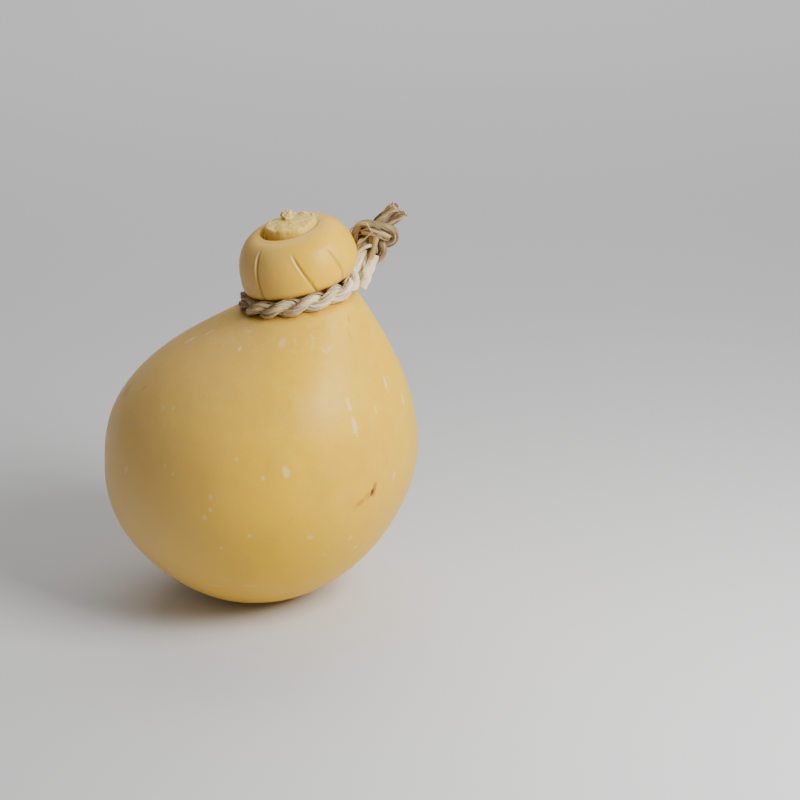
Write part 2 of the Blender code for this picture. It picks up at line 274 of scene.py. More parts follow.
def line_frames(line):
    """Two directions across a line at each of its points, carried along it without spinning."""
    run = directions(line)
    first = np.cross(run[0], (0.0, 1.0, 0.3))
    sides = []
    for ahead in run:
        first = first - ahead * first.dot(ahead)
        first = first / np.linalg.norm(first)
        sides.append(first)
    sides = np.array(sides)
    return sides, np.cross(run, sides)


DRIFT_SAMPLES = 400
DRIFT_GAIN = 1.6
DRIFT_SEED_STEP = 7.31


def slow_drift(length, step, seed):
    """A smooth random function of the share along a length: about -1 to 1, with swings of a given step."""
    shares = np.linspace(0, 1, DRIFT_SAMPLES)
    row = seed * DRIFT_SEED_STEP
    values = [DRIFT_GAIN * noise.noise((share * length / step, row, 0.5)) for share in shares]
    return lambda along: np.interp(along, shares, values)


# %% One leaf, rolled from a grid
LEAF_SIDES = 12


def roll_leaf(bm, layers, line, section, tone, frames=None):
    """A closed thin leaf along a line. section(around, along) gives offsets on its two side axes."""
    uv_layer, tone_layer = layers
    rows = len(line) - 1
    made = bmesh.ops.create_grid(bm, x_segments=LEAF_SIDES, y_segments=rows, size=0.5)["verts"]
    flat = np.array([vert.co for vert in made]) + 0.5
    row = np.rint(flat[:, 1] * rows).astype(int)
    length = length_of(line)
    across, over = frames or line_frames(line)
    first, second = section(flat[:, 0] * 2 * math.pi, flat[:, 1])
    places = line[row] + across[row] * first[:, None] + over[row] * second[:, None]
    for face in {face for vert in made for face in vert.link_faces}:
        for loop in face.loops:
            loop[uv_layer].uv = (loop.vert.co.x + 0.5, (loop.vert.co.y + 0.5) * length)
    for vert, place in zip(made, places):
        vert.co = place
        vert[tone_layer] = tone


def start_straw():
    """An empty bmesh with the two layers that every leaf fills."""
    bm = bmesh.new()
    return bm, (bm.loops.layers.uv.new("leaf"), bm.verts.layers.float.new("straw_tone"))


def add_piece(name, bm):
    """The finished bmesh as a smooth-shaded object at the origin."""
    mesh = bpy.data.meshes.new(name)
    bm.to_mesh(mesh)
    bm.free()
    mesh.shade_smooth()
    piece = bpy.data.objects.new(name, mesh)
    bpy.context.scene.collection.objects.link(piece)
    return piece


def finish_straw(name, bm):
    """Close the rolled leaves along their seams and at their ends, and make the object."""
    bmesh.ops.remove_doubles(bm, verts=bm.verts[:], dist=1e-7)
    bmesh.ops.holes_fill(bm, edges=[edge for edge in bm.edges if edge.is_boundary], sides=0)
    bmesh.ops.recalc_face_normals(bm, faces=bm.faces[:])
    return add_piece(name, bm)


# %% The section of a leaf in its strand
CORE_RADIUS = 0.00125
LEAF_COUNT = 13
LEAF_NARROW = 0.0007
LEAF_BROAD = 0.0023
LEAF_THICKNESS = 0.00034
LEAF_RADIUS = 0.00138
LEAF_LAYERS = 0.00045
LEAF_LIFT = 0.00062
LEAF_CREASE = 0.00016
LEAF_TURN = 0.046
TIP_FLARE = 0.0007
TIP_LENGTH = 0.005
TIP_NARROWING = 0.3
CREASE_WIDTH = 0.3
LIE_STEP, LIE_AMOUNT = 0.010, 0.35
WANDER_STEP, WANDER_AMOUNT = 0.012, 0.45
SWELL_STEP, SWELL_AMOUNT = 0.006, 0.35
TEAR_STEP, TEAR_AMOUNT = 0.0016, 0.22


def core_section(around, along):
    """The middle of a strand, which fills the gaps between its leaves and is painted dark as their shade."""
    return CORE_RADIUS * np.cos(around), CORE_RADIUS * np.sin(around)


def leaf_section(length, start, width, layer, seed, fullness, flared):
    """One leaf bent round its strand: creased in its middle, torn at its edges and lifted at one of them."""
    lie = slow_drift(length, LIE_STEP, seed)
    wander = slow_drift(length, WANDER_STEP, seed + 31)
    swell = slow_drift(length, SWELL_STEP, seed + 57)
    tears = slow_drift(length, TEAR_STEP, seed + 83)

    def section(around, along):
        tip = smoothstep((along * length - (length - TIP_LENGTH)) / TIP_LENGTH) if flared else 0 * along
        uneven = 1 + SWELL_AMOUNT * swell(along) + TEAR_AMOUNT * np.sign(np.cos(around)) * tears(along)
        broad = width * uneven * (1 - TIP_NARROWING * tip**3)
        arc = start + along * length / LEAF_TURN * 2 * math.pi + WANDER_AMOUNT * wander(along)
        reach = LEAF_RADIUS * fullness + LEAF_LAYERS * (layer + LIE_AMOUNT * lie(along))
        beside = broad / 2 * np.cos(around)
        fold = LEAF_CREASE * np.exp(-((np.cos(around) / CREASE_WIDTH) ** 2))
        above = reach + TIP_FLARE * tip * layer + LEAF_THICKNESS / 2 * np.sin(around)
        above = above + LEAF_LIFT * beside / width - fold
        angle = arc + beside / LEAF_RADIUS
        return above * np.cos(angle), above * np.sin(angle)

    return section


# %% A strand is a bundle of leaves
LEAF_STEP = 0.0008
LEAF_JITTER = 0.3
NARROW_BIAS = 1.3
CORE_SHADE_TONE = 0.0
FILL_TONE = 0.35
CUT_UNEVEN = 0.0030
NECK_FULLNESS = 1.18
NECK_TONES = (0.48, 1.0)
END_TONES = (0.08, 0.62)
FILL_ANGLES = np.radians(np.arange(-6, 355, 3))


def straw_strand(name, route, seed, fullness, tones, frayed, fill=None):
    """A core and its leaves along a route, as one mesh object, in tones between two given ones."""
    pick = random.Random(seed)
    bm, layers = start_straw()
    if fill is not None:
        roll_leaf(bm, layers, fill, core_section, FILL_TONE)
    length = length_of(route)
    line = smooth_route(route, round(length / LEAF_STEP))
    # Painted shade: the core takes the darkest tone, as the shade in the gaps between the leaves.
    roll_leaf(bm, layers, line, core_section, CORE_SHADE_TONE)
    for number in range(LEAF_COUNT):
        cut = round(pick.uniform(0.0, CUT_UNEVEN) / LEAF_STEP) if frayed and number > 1 else 0
        reach = length - cut * LEAF_STEP
        start = 2 * math.pi * number / LEAF_COUNT + pick.uniform(-LEAF_JITTER, LEAF_JITTER)
        width = LEAF_NARROW + (LEAF_BROAD - LEAF_NARROW) * pick.random() ** NARROW_BIAS
        section = leaf_section(reach, start, width, number % 3 / 2, seed + number, fullness, frayed)
        roll_leaf(bm, layers, line[: len(line) - cut], section, pick.uniform(*tones))
    return finish_straw(name, bm)


neck_line = np.array([list(point) for point in neck_route])
ring_line = np.array([list(ring_point(angle)) for angle in FILL_ANGLES])
neck_band = straw_strand(
    "neck_band", neck_line, seed=11, fullness=NECK_FULLNESS, tones=NECK_TONES, frayed=False, fill=ring_line,
)
end_a = straw_strand("cord_end_first", end_routes[0], seed=41, fullness=1.0, tones=END_TONES, frayed=True)
end_b = straw_strand("cord_end_second", end_routes[1], seed=71, fullness=1.0, tones=END_TONES, frayed=True)
for piece in (neck_band, end_a, end_b):
    print(piece.name, len(piece.data.polygons), "faces")

# %% [markdown]
# ## Loose leaves and fibres
# Dry straw sheds. Torn leaves 5 to 15 mm long lift off the band at one end, and thin fibres stand off it
# and off the knot. They are what tells the eye that the cord is rough. Both are made like the leaves of a
# strand.

# %% Torn leaves that lift off a strand
TORN_OUT = 0.0020
TORN_OUT_NECK = 0.0023
TORN_LIFT = 0.0022
TORN_LENGTHS = (0.005, 0.015)
TORN_WIDTHS = (0.0004, 0.0011)
TORN_TONES = (0.35, 1.0)
TORN_POINTED = 12
TORN_TAPER = 0.7


def torn_section(length, start, width, out, lift):
    """A narrow leaf that lies on the strand at its start and stands away from it at its end."""

    def section(around, along):
        reach = out + lift * smoothstep(along * 1.5 - 0.5) ** 1.5 + LEAF_THICKNESS / 3 * np.sin(around)
        taper = smoothstep(along * TORN_POINTED) * (1 - TORN_TAPER * along**3)
        angle = start + along * length / LEAF_TURN * 2 * math.pi + width * taper / 2 * np.cos(around) / out
        return reach * np.cos(angle), reach * np.sin(angle)

    return section


def torn_leaves(bm, layers, line, count, out, pick):
    """Short leaves at random places along a line of even steps."""
    step = float(np.linalg.norm(line[1] - line[0]))
    for _ in range(count):
        points = round(pick.uniform(*TORN_LENGTHS) / step)
        first = pick.randrange(1, len(line) - points - 1)
        stretch = line[first : first + points][:: pick.choice((-1, 1))]
        start = pick.uniform(0, 2 * math.pi)
        width = pick.uniform(*TORN_WIDTHS)
        section = torn_section(points * step, start, width, out, TORN_LIFT * pick.random() ** 2)
        roll_leaf(bm, layers, stretch, section, pick.uniform(*TORN_TONES))


# %% Broad leaves that cover a strand on one side
COVER_OUT = 0.0017
COVER_ARCH = 0.0009
COVER_STEP = 0.0005
COVER_FOLD = 0.25
RAG_STEP, RAG_AMOUNT = 0.0030, 0.20
CUT_STEP, CUT_AMOUNT = 0.17, 0.9
CUT_LENGTH = 0.0012
CUT_START = 0.35
CUT_WIDTH = 0.25
ROUGH_POINTS = 40
TO_FRONT = Vector((0.18, -0.92, 0.34)).normalized()
TO_BACK = Vector((0.18, 0.92, 0.34)).normalized()


def broad_leaf(bm, layers, points, width, facing, seed, tone):
    """A flat leaf through a few points that faces one side: arched, and ragged at its edges and ends."""
    length = length_of(smooth_route(points, ROUGH_POINTS))
    line = smooth_route(points, round(length / COVER_STEP))
    run = directions(line)
    across = np.cross(run, np.array(facing))
    across /= np.linalg.norm(across, axis=1)[:, None]
    left = slow_drift(length, RAG_STEP, seed)
    right = slow_drift(length, RAG_STEP, seed + 5)
    cuts = slow_drift(1.0, CUT_STEP, seed + 9)

    def section(around, along):
        side = np.cos(around)
        edge = np.where(side > 0, left(along), right(along))
        end = smoothstep((1 - along) * length / CUT_LENGTH + CUT_AMOUNT * cuts((side + 1) / 2) + CUT_START)
        beside = width / 2 * side * (1 + RAG_AMOUNT * edge) * (CUT_WIDTH + (1 - CUT_WIDTH) * end)
        fold = LEAF_CREASE * np.exp(-((side / COVER_FOLD) ** 2))
        return beside, LEAF_THICKNESS / 2 * np.sin(around) - COVER_ARCH * side**2 - fold

    roll_leaf(bm, layers, line, section, tone, (across, np.cross(across, run)))


# %% Fibres
FIBRE_WIDTH = 0.00015
FIBRE_WIDTHS = (0.5, 1.2)
FIBRE_TONES = (0.5, 1.0)
FIBRE_POINTS = 9
FIBRE_SHORT, FIBRE_LONGER = 0.003, 0.008
FIBRE_LIFTS = (0.10, 0.45)
FIBRE_FOOT = 0.0019
FIBRE_BEND = 0.25
FIBRE_TAPER = 0.85


def fibre_line(line, across, over, place, pick):
    """A short curl that leaves a strand at one of its points."""
    angle = pick.uniform(0, 2 * math.pi)
    out = across[place] * math.cos(angle) + over[place] * math.sin(angle)
    ahead = line[min(place + 1, len(line) - 1)] - line[place - 1]
    ahead = pick.choice((-1, 1)) * ahead / np.linalg.norm(ahead)
    bend = np.array([pick.uniform(-1, 1) for _ in range(3)])
    length = FIBRE_SHORT + FIBRE_LONGER * pick.random() ** 2
    lift = pick.uniform(*FIBRE_LIFTS)
    t = np.linspace(0, 1, FIBRE_POINTS)[:, None]
    rise = out * (FIBRE_FOOT + length * lift * t**1.5)
    return line[place] + rise + ahead * length * t + bend * length * FIBRE_BEND * t**2


def fibre_section(width):
    """A round section that runs out to a point."""

    def section(around, along):
        taper = width * (1 - FIBRE_TAPER * along)
        return taper * np.cos(around), taper * np.sin(around)

    return section


# %% The loose straw of a strand
STRAND_POINTS = 300
STRAND_MARGIN = 2


def loose_straw(name, route, covers, leaves, out, fibres, seed):
    """Broad leaves, torn leaves and fibres on one strand, as one mesh object."""
    pick = random.Random(seed)
    bm, layers = start_straw()
    for number, (first, last, width, facing, tone) in enumerate(covers):
        points = [point + COVER_OUT * np.array(facing) for point in route[first : last + 1 : 2]]
        broad_leaf(bm, layers, points, width, facing, seed + 10 * number, tone)
    line = smooth_route(route, STRAND_POINTS)
    across, over = line_frames(line)
    torn_leaves(bm, layers, line, leaves, out, pick)
    for _ in range(fibres):
        place = pick.randrange(STRAND_MARGIN, STRAND_POINTS - STRAND_MARGIN)
        curl = fibre_line(line, across, over, place, pick)
        section = fibre_section(FIBRE_WIDTH * pick.uniform(*FIBRE_WIDTHS))
        roll_leaf(bm, layers, curl, section, pick.uniform(*FIBRE_TONES))
    return finish_straw(name, bm)


# %% Free leaves at the knot's stem: width, tone and points. Hairs: points
STEM_LEAVES = (
    (0.0050, 0.80, (0.0388, 0.0040, 0.1472), (0.0425, 0.0048, 0.1530), (0.0456, 0.0058, 0.1590),
     (0.0476, 0.0068, 0.1645)),
    (0.0048, 0.75, (0.0530, 0.0068, 0.1618), (0.0510, 0.0056, 0.1560), (0.0492, 0.0046, 0.1508),
     (0.0478, 0.0042, 0.1464)),
    (0.0030, 0.34, (0.0545, 0.0050, 0.1722), (0.0534, 0.0048, 0.1675), (0.0523, 0.0056, 0.1630),
     (0.0514, 0.0064, 0.1585)),
    (0.0018, 1.00, (0.0450, 0.0058, 0.1622), (0.0470, 0.0050, 0.1646), (0.0495, 0.0050, 0.1660),
     (0.0522, 0.0056, 0.1668)),
)
STEM_SEED, STEM_SEED_STEP = 90, 7
KNOT_HAIRS = (
    ((0.0455, 0.0060, 0.1672), (0.0490, 0.0052, 0.1700), (0.0532, 0.0046, 0.1732), (0.0588, 0.0060, 0.1672)),
    ((0.0494, 0.0062, 0.1768), (0.0508, 0.0054, 0.1748), (0.0522, 0.0050, 0.1722), (0.0526, 0.0056, 0.1700)),
)
HAIR_POINTS = 24
HAIR_WIDTH = 0.00032
HAIR_TONE = 0.85

stem_bm, stem_layers = start_straw()
for number, (width, tone, *points) in enumerate(STEM_LEAVES):
    broad_leaf(stem_bm, stem_layers, points, width, TO_FRONT, STEM_SEED + STEM_SEED_STEP * number, tone)
for points in KNOT_HAIRS:
    hair = smooth_route(points, HAIR_POINTS)
    roll_leaf(stem_bm, stem_layers, hair, fibre_section(HAIR_WIDTH), HAIR_TONE)
stem_leaves = finish_straw("stem_leaves", stem_bm)
print("stem faces:", len(stem_leaves.data.polygons))

# %% Covers: first and last point of the route, width, side and tone
FIRST_COVERS = (
    (2, 14, 0.0042, TO_FRONT, 0.80), (2, 14, 0.0042, TO_BACK, 0.55), (22, 32, 0.0022, TO_FRONT, 0.14),
    (52, 65, 0.0032, TO_FRONT, 0.60), (52, 65, 0.0036, TO_BACK, 0.40),
)
SECOND_COVERS = (
    (8, 20, 0.0044, TO_FRONT, 0.85), (8, 20, 0.0044, TO_BACK, 0.60), (24, 42, 0.0030, TO_FRONT, 0.24),
    (56, 65, 0.0032, TO_FRONT, 0.62), (56, 65, 0.0036, TO_BACK, 0.38),
)
neck_fibres = loose_straw(
    "neck_fibres", neck_line, (), leaves=150, out=TORN_OUT_NECK, fibres=170, seed=5,
)
end_fibres_a = loose_straw(
    "end_fibres_first", end_routes[0], FIRST_COVERS, leaves=14, out=TORN_OUT, fibres=40, seed=6,
)
end_fibres_b = loose_straw(
    "end_fibres_second", end_routes[1], SECOND_COVERS, leaves=18, out=TORN_OUT, fibres=50, seed=7,
)
print("fibre faces:", sum(len(piece.data.polygons) for piece in (neck_fibres, end_fibres_a, end_fibres_b)))

# %% [markdown]
# ## The turned profile
# The cheese is round about an axis that leans, so it is made in two moves. First a straight profile is
# spun, as on a potter's wheel. Then each ring is shifted and tipped to where the neck and the head lean.
# Both moves repeat the formulas of the solid, with many more rings, so the fine skin lies on the coarse
# one.

# %% Profile of the belly and the shoulder
BELLY_RADIUS = 0.0727
BELLY_LEVEL = 0.0683
BELLY_X = 0.00036
LOWER_DEPTH = 0.0711
LOWER_POWER = 1.85
LOWER_SPACING = 1.6
NECK_RADIUS = 0.0205
NECK_LEVEL = 0.148
SHOULDER_RISE = 0.0414
SHOULDER_REACH = 0.0349
SHOULDER_SLOPE = math.radians(44.6)


def lower_profile(rings):
    """From the middle of the foot up to the belly: a flat spot, then a superellipse."""
    points = [(0.0, 0.0)]
    for ring in range(rings):
        level = BELLY_LEVEL * (ring / rings) ** LOWER_SPACING
        drop = (BELLY_LEVEL - level) / LOWER_DEPTH
        points.append((BELLY_RADIUS * (1 - drop**LOWER_POWER) ** (1 / LOWER_POWER), level))
    return points


def shoulder_profile(rings):
    """From the belly up to the neck: one cubic curve, upright at the belly."""
    start = Vector((BELLY_RADIUS, BELLY_LEVEL))
    end = Vector((NECK_RADIUS, NECK_LEVEL))
    first = start + Vector((0.0, SHOULDER_RISE))
    second = end + SHOULDER_REACH * Vector((math.cos(SHOULDER_SLOPE), -math.sin(SHOULDER_SLOPE)))
    points = []
    for ring in range(rings + 1):
        t = ring / rings
        rest = 1 - t
        point = rest**3 * start + 3 * rest**2 * t * first + 3 * rest * t**2 * second + t**3 * end
        points.append(tuple(point))
    return points


# %% Profile of the head
HEAD_RADIUS = 0.027
HEAD_LEVEL = 0.1595
HEAD_X = 0.0190
HEAD_NOD = math.radians(9)
UNDERSIDE_POWER = 1.6
CROWN_HEIGHT = 0.0175
CROWN_RADIUS = 0.0147
TOP_EDGE = 0.0160
PLUG_DOME = 0.0014
CROWN_SPACING = 0.8


def crown_height(radius):
    """Height of the head's plain top above its widest ring, for an array of radii."""
    share = (radius - CROWN_RADIUS) / (HEAD_RADIUS - CROWN_RADIUS)
    rim = CROWN_HEIGHT * np.sqrt(np.clip(1 - share * share, 0.0, 1.0))
    dome = CROWN_HEIGHT + PLUG_DOME * (1 - (radius / CROWN_RADIUS) ** 2)
    return np.where(radius > CROWN_RADIUS, rim, dome)


def head_profile(under_rings, crown_rings, top_rings):
    """From the neck round the knob to the middle of its top, without the folds."""
    points = []
    for ring in range(1, under_rings + 1):
        turn = math.pi / 2 * ring / under_rings
        bulge = math.sin(turn) ** (2 / UNDERSIDE_POWER)
        drop = math.cos(turn) ** (2 / UNDERSIDE_POWER)
        radius = NECK_RADIUS + (HEAD_RADIUS - NECK_RADIUS) * bulge
        points.append((radius, HEAD_LEVEL - (HEAD_LEVEL - NECK_LEVEL) * drop))
    for ring in range(1, crown_rings + 1):
        share = float(smoothstep(ring / crown_rings)) ** CROWN_SPACING
        radius = HEAD_RADIUS + (TOP_EDGE - HEAD_RADIUS) * share
        points.append((radius, HEAD_LEVEL + float(crown_height(radius))))
    for ring in range(1, top_rings + 1):
        radius = TOP_EDGE * (1 - ring / top_rings)
        points.append((radius, HEAD_LEVEL + float(crown_height(radius))))
    return points


# %% Spin the profile, with finer faces on the head
SEGMENTS = 168
LOWER_RINGS = 56
SHOULDER_RINGS = 84
HEAD_RINGS = (14, 26, 44)
HEAD_FROM = NECK_LEVEL + 0.0005
# The torn share also carries the painted highlight on the pleat lips.
SHARE_NAMES = ("crease_shade", "plug", "torn", "cord_stain", "bloom", "shade_side")

profile = lower_profile(LOWER_RINGS) + shoulder_profile(SHOULDER_RINGS) + head_profile(*HEAD_RINGS)
cheese_bm = bmesh.new()
share_layers = [cheese_bm.verts.layers.float.new(name) for name in SHARE_NAMES]
profile_verts = [cheese_bm.verts.new((radius, 0.0, level)) for radius, level in profile]
profile_edges = [cheese_bm.edges.new(pair) for pair in zip(profile_verts, profile_verts[1:])]
bmesh.ops.spin(
    cheese_bm, geom=profile_verts + profile_edges, cent=(0, 0, 0), axis=(0, 0, 1), angle=2 * math.pi,
    steps=SEGMENTS, use_merge=True,
)
bmesh.ops.remove_doubles(cheese_bm, verts=cheese_bm.verts[:], dist=1e-6)
head_edges = [edge for edge in cheese_bm.edges if min(vert.co.z for vert in edge.verts) > HEAD_FROM]
bmesh.ops.subdivide_edges(cheese_bm, edges=head_edges, cuts=1, use_grid_fill=True)
print("cheese faces:", len(cheese_bm.faces))

# %% [markdown]
# ## Lean, fold and pleats
# The head is the top of the curd, stretched, folded in on itself and pinched off. So its top has a plug
# of curd in a rolled rim, with a spiral groove between them that is deep at the front left and gone at
# the right. From the rim short pleats run down into the neck. These are forms, not texture, so the
# vertices themselves move.

# %% The spiral fold in the head's top
FOLD_MIDDLE = Vector((0.0006, 0.0031))
FOLD_RADIUS = 0.0124
FOLD_SPIRAL = 0.0006
FOLD_WIDTH = 0.0011
FOLD_DEPTH = 0.0036
FOLD_DEEPEST = math.radians(-135)
PLUG_RISE = 0.0027
PLUG_EDGE = 0.0014
PALE_PAST = 0.0042


def fold_groove(radius, angle):
    """At a place: the share of the groove, the share of the plug, the plug's rise and its paleness."""
    turn = np.cos(angle - FOLD_DEEPEST)
    groove_radius = FOLD_RADIUS + FOLD_SPIRAL * turn
    groove = (1 + turn) / 2 * np.exp(-(((radius - groove_radius) / FOLD_WIDTH) ** 2))
    inside = smoothstep((groove_radius - radius) / PLUG_EDGE)
    rise = PLUG_RISE * (1 + turn * np.minimum(radius / groove_radius, 1.0)) / 2
    merging = (1 - turn) / 2
    pale = smoothstep((groove_radius + PALE_PAST * merging - radius) / (PLUG_EDGE + PALE_PAST * merging))
    return groove, inside, rise, pale


# %% Where each ring goes
FOOT_SHIFT = -0.003
FOOT_SHIFT_TOP = 0.0795
FOOT_SHIFT_BOTTOM = 0.030
NECK_SHIFT = 0.0191
SHIFT_POWER = 2.76
NECK_TIP = math.radians(13)
TIP_POWER = 8.0


def tipped(across, back, up, tip, nod):
    """Points turned by arrays of tip and nod, in the same order as turned() does it."""
    right = across * np.cos(tip) - up * np.sin(tip)
    high = across * np.sin(tip) + up * np.cos(tip)
    near = back * np.cos(nod) - high * np.sin(nod)
    return np.stack([right, near, back * np.sin(nod) + high * np.cos(nod)], axis=-1)


def lean_body(radius, angle, level):
    """Places below the head's widest ring."""
    low = smoothstep((FOOT_SHIFT_TOP - level) / (FOOT_SHIFT_TOP - FOOT_SHIFT_BOTTOM))
    high = np.clip((level - BELLY_LEVEL) / (NECK_LEVEL - BELLY_LEVEL), 0.0, 1.0)
    middle = BELLY_X + FOOT_SHIFT * low + NECK_SHIFT * np.sin(math.pi / 2 * high**SHIFT_POWER)
    share = smoothstep((level - NECK_LEVEL) / (HEAD_LEVEL - NECK_LEVEL))
    middle = middle + (HEAD_X - middle) * share
    tip = NECK_TIP * high**TIP_POWER
    place = tipped(radius * np.cos(angle), radius * np.sin(angle), 0 * radius, tip, HEAD_NOD * share)
    return place + np.stack([middle, 0 * middle, level], axis=-1)


def lean_head(across, back, height):
    """Places given in the head's own frame, from the middle of its widest ring."""
    place = tipped(across, back, height, np.full_like(across, NECK_TIP), np.full_like(across, HEAD_NOD))
    return place + np.array((HEAD_X, 0.0, HEAD_LEVEL))


# %% Move the rings, and remember where the groove and the plug are
straight = np.array([vert.co for vert in cheese_bm.verts])
radius = np.hypot(straight[:, 0], straight[:, 1])
angle = np.arctan2(straight[:, 1], straight[:, 0])
level = straight[:, 2]
on_top = level > HEAD_LEVEL + 1e-7
gather = smoothstep((HEAD_RADIUS - radius) / (HEAD_RADIUS - TOP_EDGE))
across = np.where(on_top, FOLD_MIDDLE.x * gather, 0.0) + radius * np.cos(angle)
back = np.where(on_top, FOLD_MIDDLE.y * gather, 0.0) + radius * np.sin(angle)
groove, inside, rise, pale = fold_groove(radius, angle)
groove, inside, pale = (np.where(on_top, share, 0.0) for share in (groove, inside, pale))
height = crown_height(np.hypot(across, back)) + rise * inside - FOLD_DEPTH * groove
places = np.where(on_top[:, None], lean_head(across, back, height), lean_body(radius, angle, level))
print("head top at", round(float(places[:, 2].max()) * 1000, 1), "mm")

# %% Pleats: angle at the top and at the bottom, where they start, depth, and the lip on their left side
PLEATS = (
    (-131, -126, 0.0170, 0.00085, 0.00048), (-86, -66, 0.0155, 0.00090, 0.00045),
    (-47, -34, 0.0135, 0.00055, 0.00016), (28, 50, 0.0140, 0.00070, 0.00020),
    (95, 88, 0.0150, 0.00080, 0.00025), (158, 170, 0.0150, 0.00070, 0.00025),
)
PLEAT_TOP = 0.0140
PLEAT_BOTTOM = -0.0100
PLEAT_WIDTH = 0.00052
PLEAT_VALLEY = 0.0042
PLEAT_VALLEY_DEPTH = 0.00035
PLEAT_FADE = 0.0045
PLEAT_END, PLEAT_END_FADE = -0.0125, 0.002
LIP_AWAY = 0.0010
LIP_WIDTH = 0.0005
LIP_HIGHLIGHT_FULL = 0.00048
LIP_FOOT = 0.0035
LIP_FADE = 0.0065
GROOVE_DARK = 0.9

head_angle = np.arctan2(back, across)
head_radius = np.hypot(across, back)
head_height = np.where(on_top, crown_height(head_radius), level - HEAD_LEVEL)
relief = np.zeros(len(places))
# Painted shade: this share darkens the colour in the groove round the plug, and in the pleats below.
crease_shade = GROOVE_DARK * groove
lip_highlight = np.zeros(len(places))
for top_angle, bottom_angle, start, depth, lip in PLEATS:
    share = (PLEAT_TOP - head_height) / (PLEAT_TOP - PLEAT_BOTTOM)
    line = np.radians(top_angle + (bottom_angle - top_angle) * share)
    aside = head_radius * ((head_angle - line + math.pi) % (2 * math.pi) - math.pi)
    fade = smoothstep((start - head_height) / PLEAT_FADE)
    fade *= smoothstep((head_height - PLEAT_END) / PLEAT_END_FADE)
    cut = np.exp(-((aside / PLEAT_WIDTH) ** 2)) * fade
    valley = np.exp(-((aside / PLEAT_VALLEY) ** 2)) * fade
    rim = np.exp(-(((aside + LIP_AWAY) / LIP_WIDTH) ** 2)) * fade
    rim *= smoothstep((head_height - LIP_FOOT) / LIP_FADE)
    relief += lip * rim - depth * cut - PLEAT_VALLEY_DEPTH * valley
    crease_shade = np.maximum(crease_shade, cut)
    # Painted highlight: the pleat lips are painted paler in the colour, as if catching the light.
    lip_highlight = np.maximum(lip_highlight, lip / LIP_HIGHLIGHT_FULL * rim)
print("pleats go down to", round(float(-relief.min()) * 1000, 2), "mm")

# %% [markdown]
# ## The unevenness of curd
# A cheese that hung in a cord and was turned by hand is never a perfect pear. Soft swells of a quarter
# millimetre over a few centimetres keep the shine from lying in clean bands. They come from smooth noise,
# pushed along the normals, and they fade out at the foot so that it stays flat where the cheese stands.

# %% Swells, dents and a lumpy plug
SWELL = 0.00045
SWELL_SIZE = 0.034
RIPPLE = 0.00012
RIPPLE_SIZE = 0.009
LUMP = 0.00042
LUMP_SIZE = 0.0035
LUMP_FINER = 2.3
FOOT_FLAT, FOOT_FADE = 0.0004, 0.008

for vert, place in zip(cheese_bm.verts, places):
    vert.co = place
cheese_bm.normal_update()
bmesh.ops.recalc_face_normals(cheese_bm, faces=cheese_bm.faces[:])
normals = np.array([vert.normal for vert in cheese_bm.verts])


def noise_at(points, size, seed):
    """Smooth noise between about -1 and 1 at each point, with features of a given size."""
    return np.array([noise.noise(Vector(point) / size + Vector((seed, 0, 0))) for point in points])


standing = smoothstep((places[:, 2] - FOOT_FLAT) / FOOT_FADE)
relief += standing * (SWELL * noise_at(places, SWELL_SIZE, 3) + RIPPLE * noise_at(places, RIPPLE_SIZE, 8))
lumps = noise_at(places, LUMP_SIZE, 12) + noise_at(places, LUMP_SIZE / LUMP_FINER, 15) / 2
relief += inside * LUMP * lumps
places = places + normals * relief[:, None]
print("relief:", [round(float(end) * 1000, 2) for end in (relief.min(), relief.max())], "mm")

# %% The torn edge at the back of the rim
TORN_FROM = math.radians(20)
TORN_TO = math.radians(118)
TORN_RISE = 0.0013
TORN_WIDTH = 0.0012
TORN_ENDS = 5
RAGGED_SIZE = 0.0016
RAGGED_EVEN, RAGGED_UNEVEN = 0.55, 0.9

middle_share = (angle - TORN_FROM) / (TORN_TO - TORN_FROM)
torn = smoothstep(middle_share * TORN_ENDS) * smoothstep((1 - middle_share) * TORN_ENDS)
torn = torn * np.where(on_top, np.exp(-(((radius - FOLD_RADIUS) / TORN_WIDTH) ** 2)), 0.0)
ragged = RAGGED_EVEN + RAGGED_UNEVEN * noise_at(places, RAGGED_SIZE, 21)
places = places + normals * (TORN_RISE * torn * ragged)[:, None]
print("torn rim rises by", round(float((TORN_RISE * torn * ragged).max()) * 1000, 2), "mm")

# %% [markdown]
# ## The groove that the cord pressed in
# The cord hung with the whole weight on it, so it lies sunk in the neck. Every vertex that would be
# inside a ring of the cord's band is pushed in to that ring's inner side, and the two edges are then
# smoothed, as curd bulges softly beside a cord and doesn't break.

# %% Press the groove
GROOVE_RADIUS = 0.0042
GROOVE_SMOOTH = 0.0062
GROOVE_ROUNDS = 4
SHADE_DARK = 0.75
SHADE_REACH = 1.9
SHADE_RADIUS = 0.0036

ring_turn = np.array(turned(RING_TIP, 0.0))
local = (places - np.array(RING_MIDDLE)) @ ring_turn
reach = np.hypot(local[:, 0], local[:, 1])
from_cord = np.hypot(reach - RING_RADIUS, local[:, 2])
within = from_cord < GROOVE_RADIUS
sunk = -np.sqrt(np.clip(GROOVE_RADIUS**2 - local[:, 2] ** 2, 0, None))
new_reach = np.where(within, RING_RADIUS + sunk, reach)
local[:, :2] *= (new_reach / np.maximum(reach, 1e-9))[:, None]
places = local @ ring_turn.T + np.array(RING_MIDDLE)
near_cord = from_cord < GROOVE_SMOOTH
# Painted shade: the rind beside the cord is darkened in the colour, as if lying in the cord's shadow.
shade = SHADE_DARK * smoothstep(SHADE_REACH - from_cord / SHADE_RADIUS)
crease_shade = np.maximum(crease_shade, np.where(near_cord, shade, 0))
print("vertices pressed by the cord:", int(within.sum()))

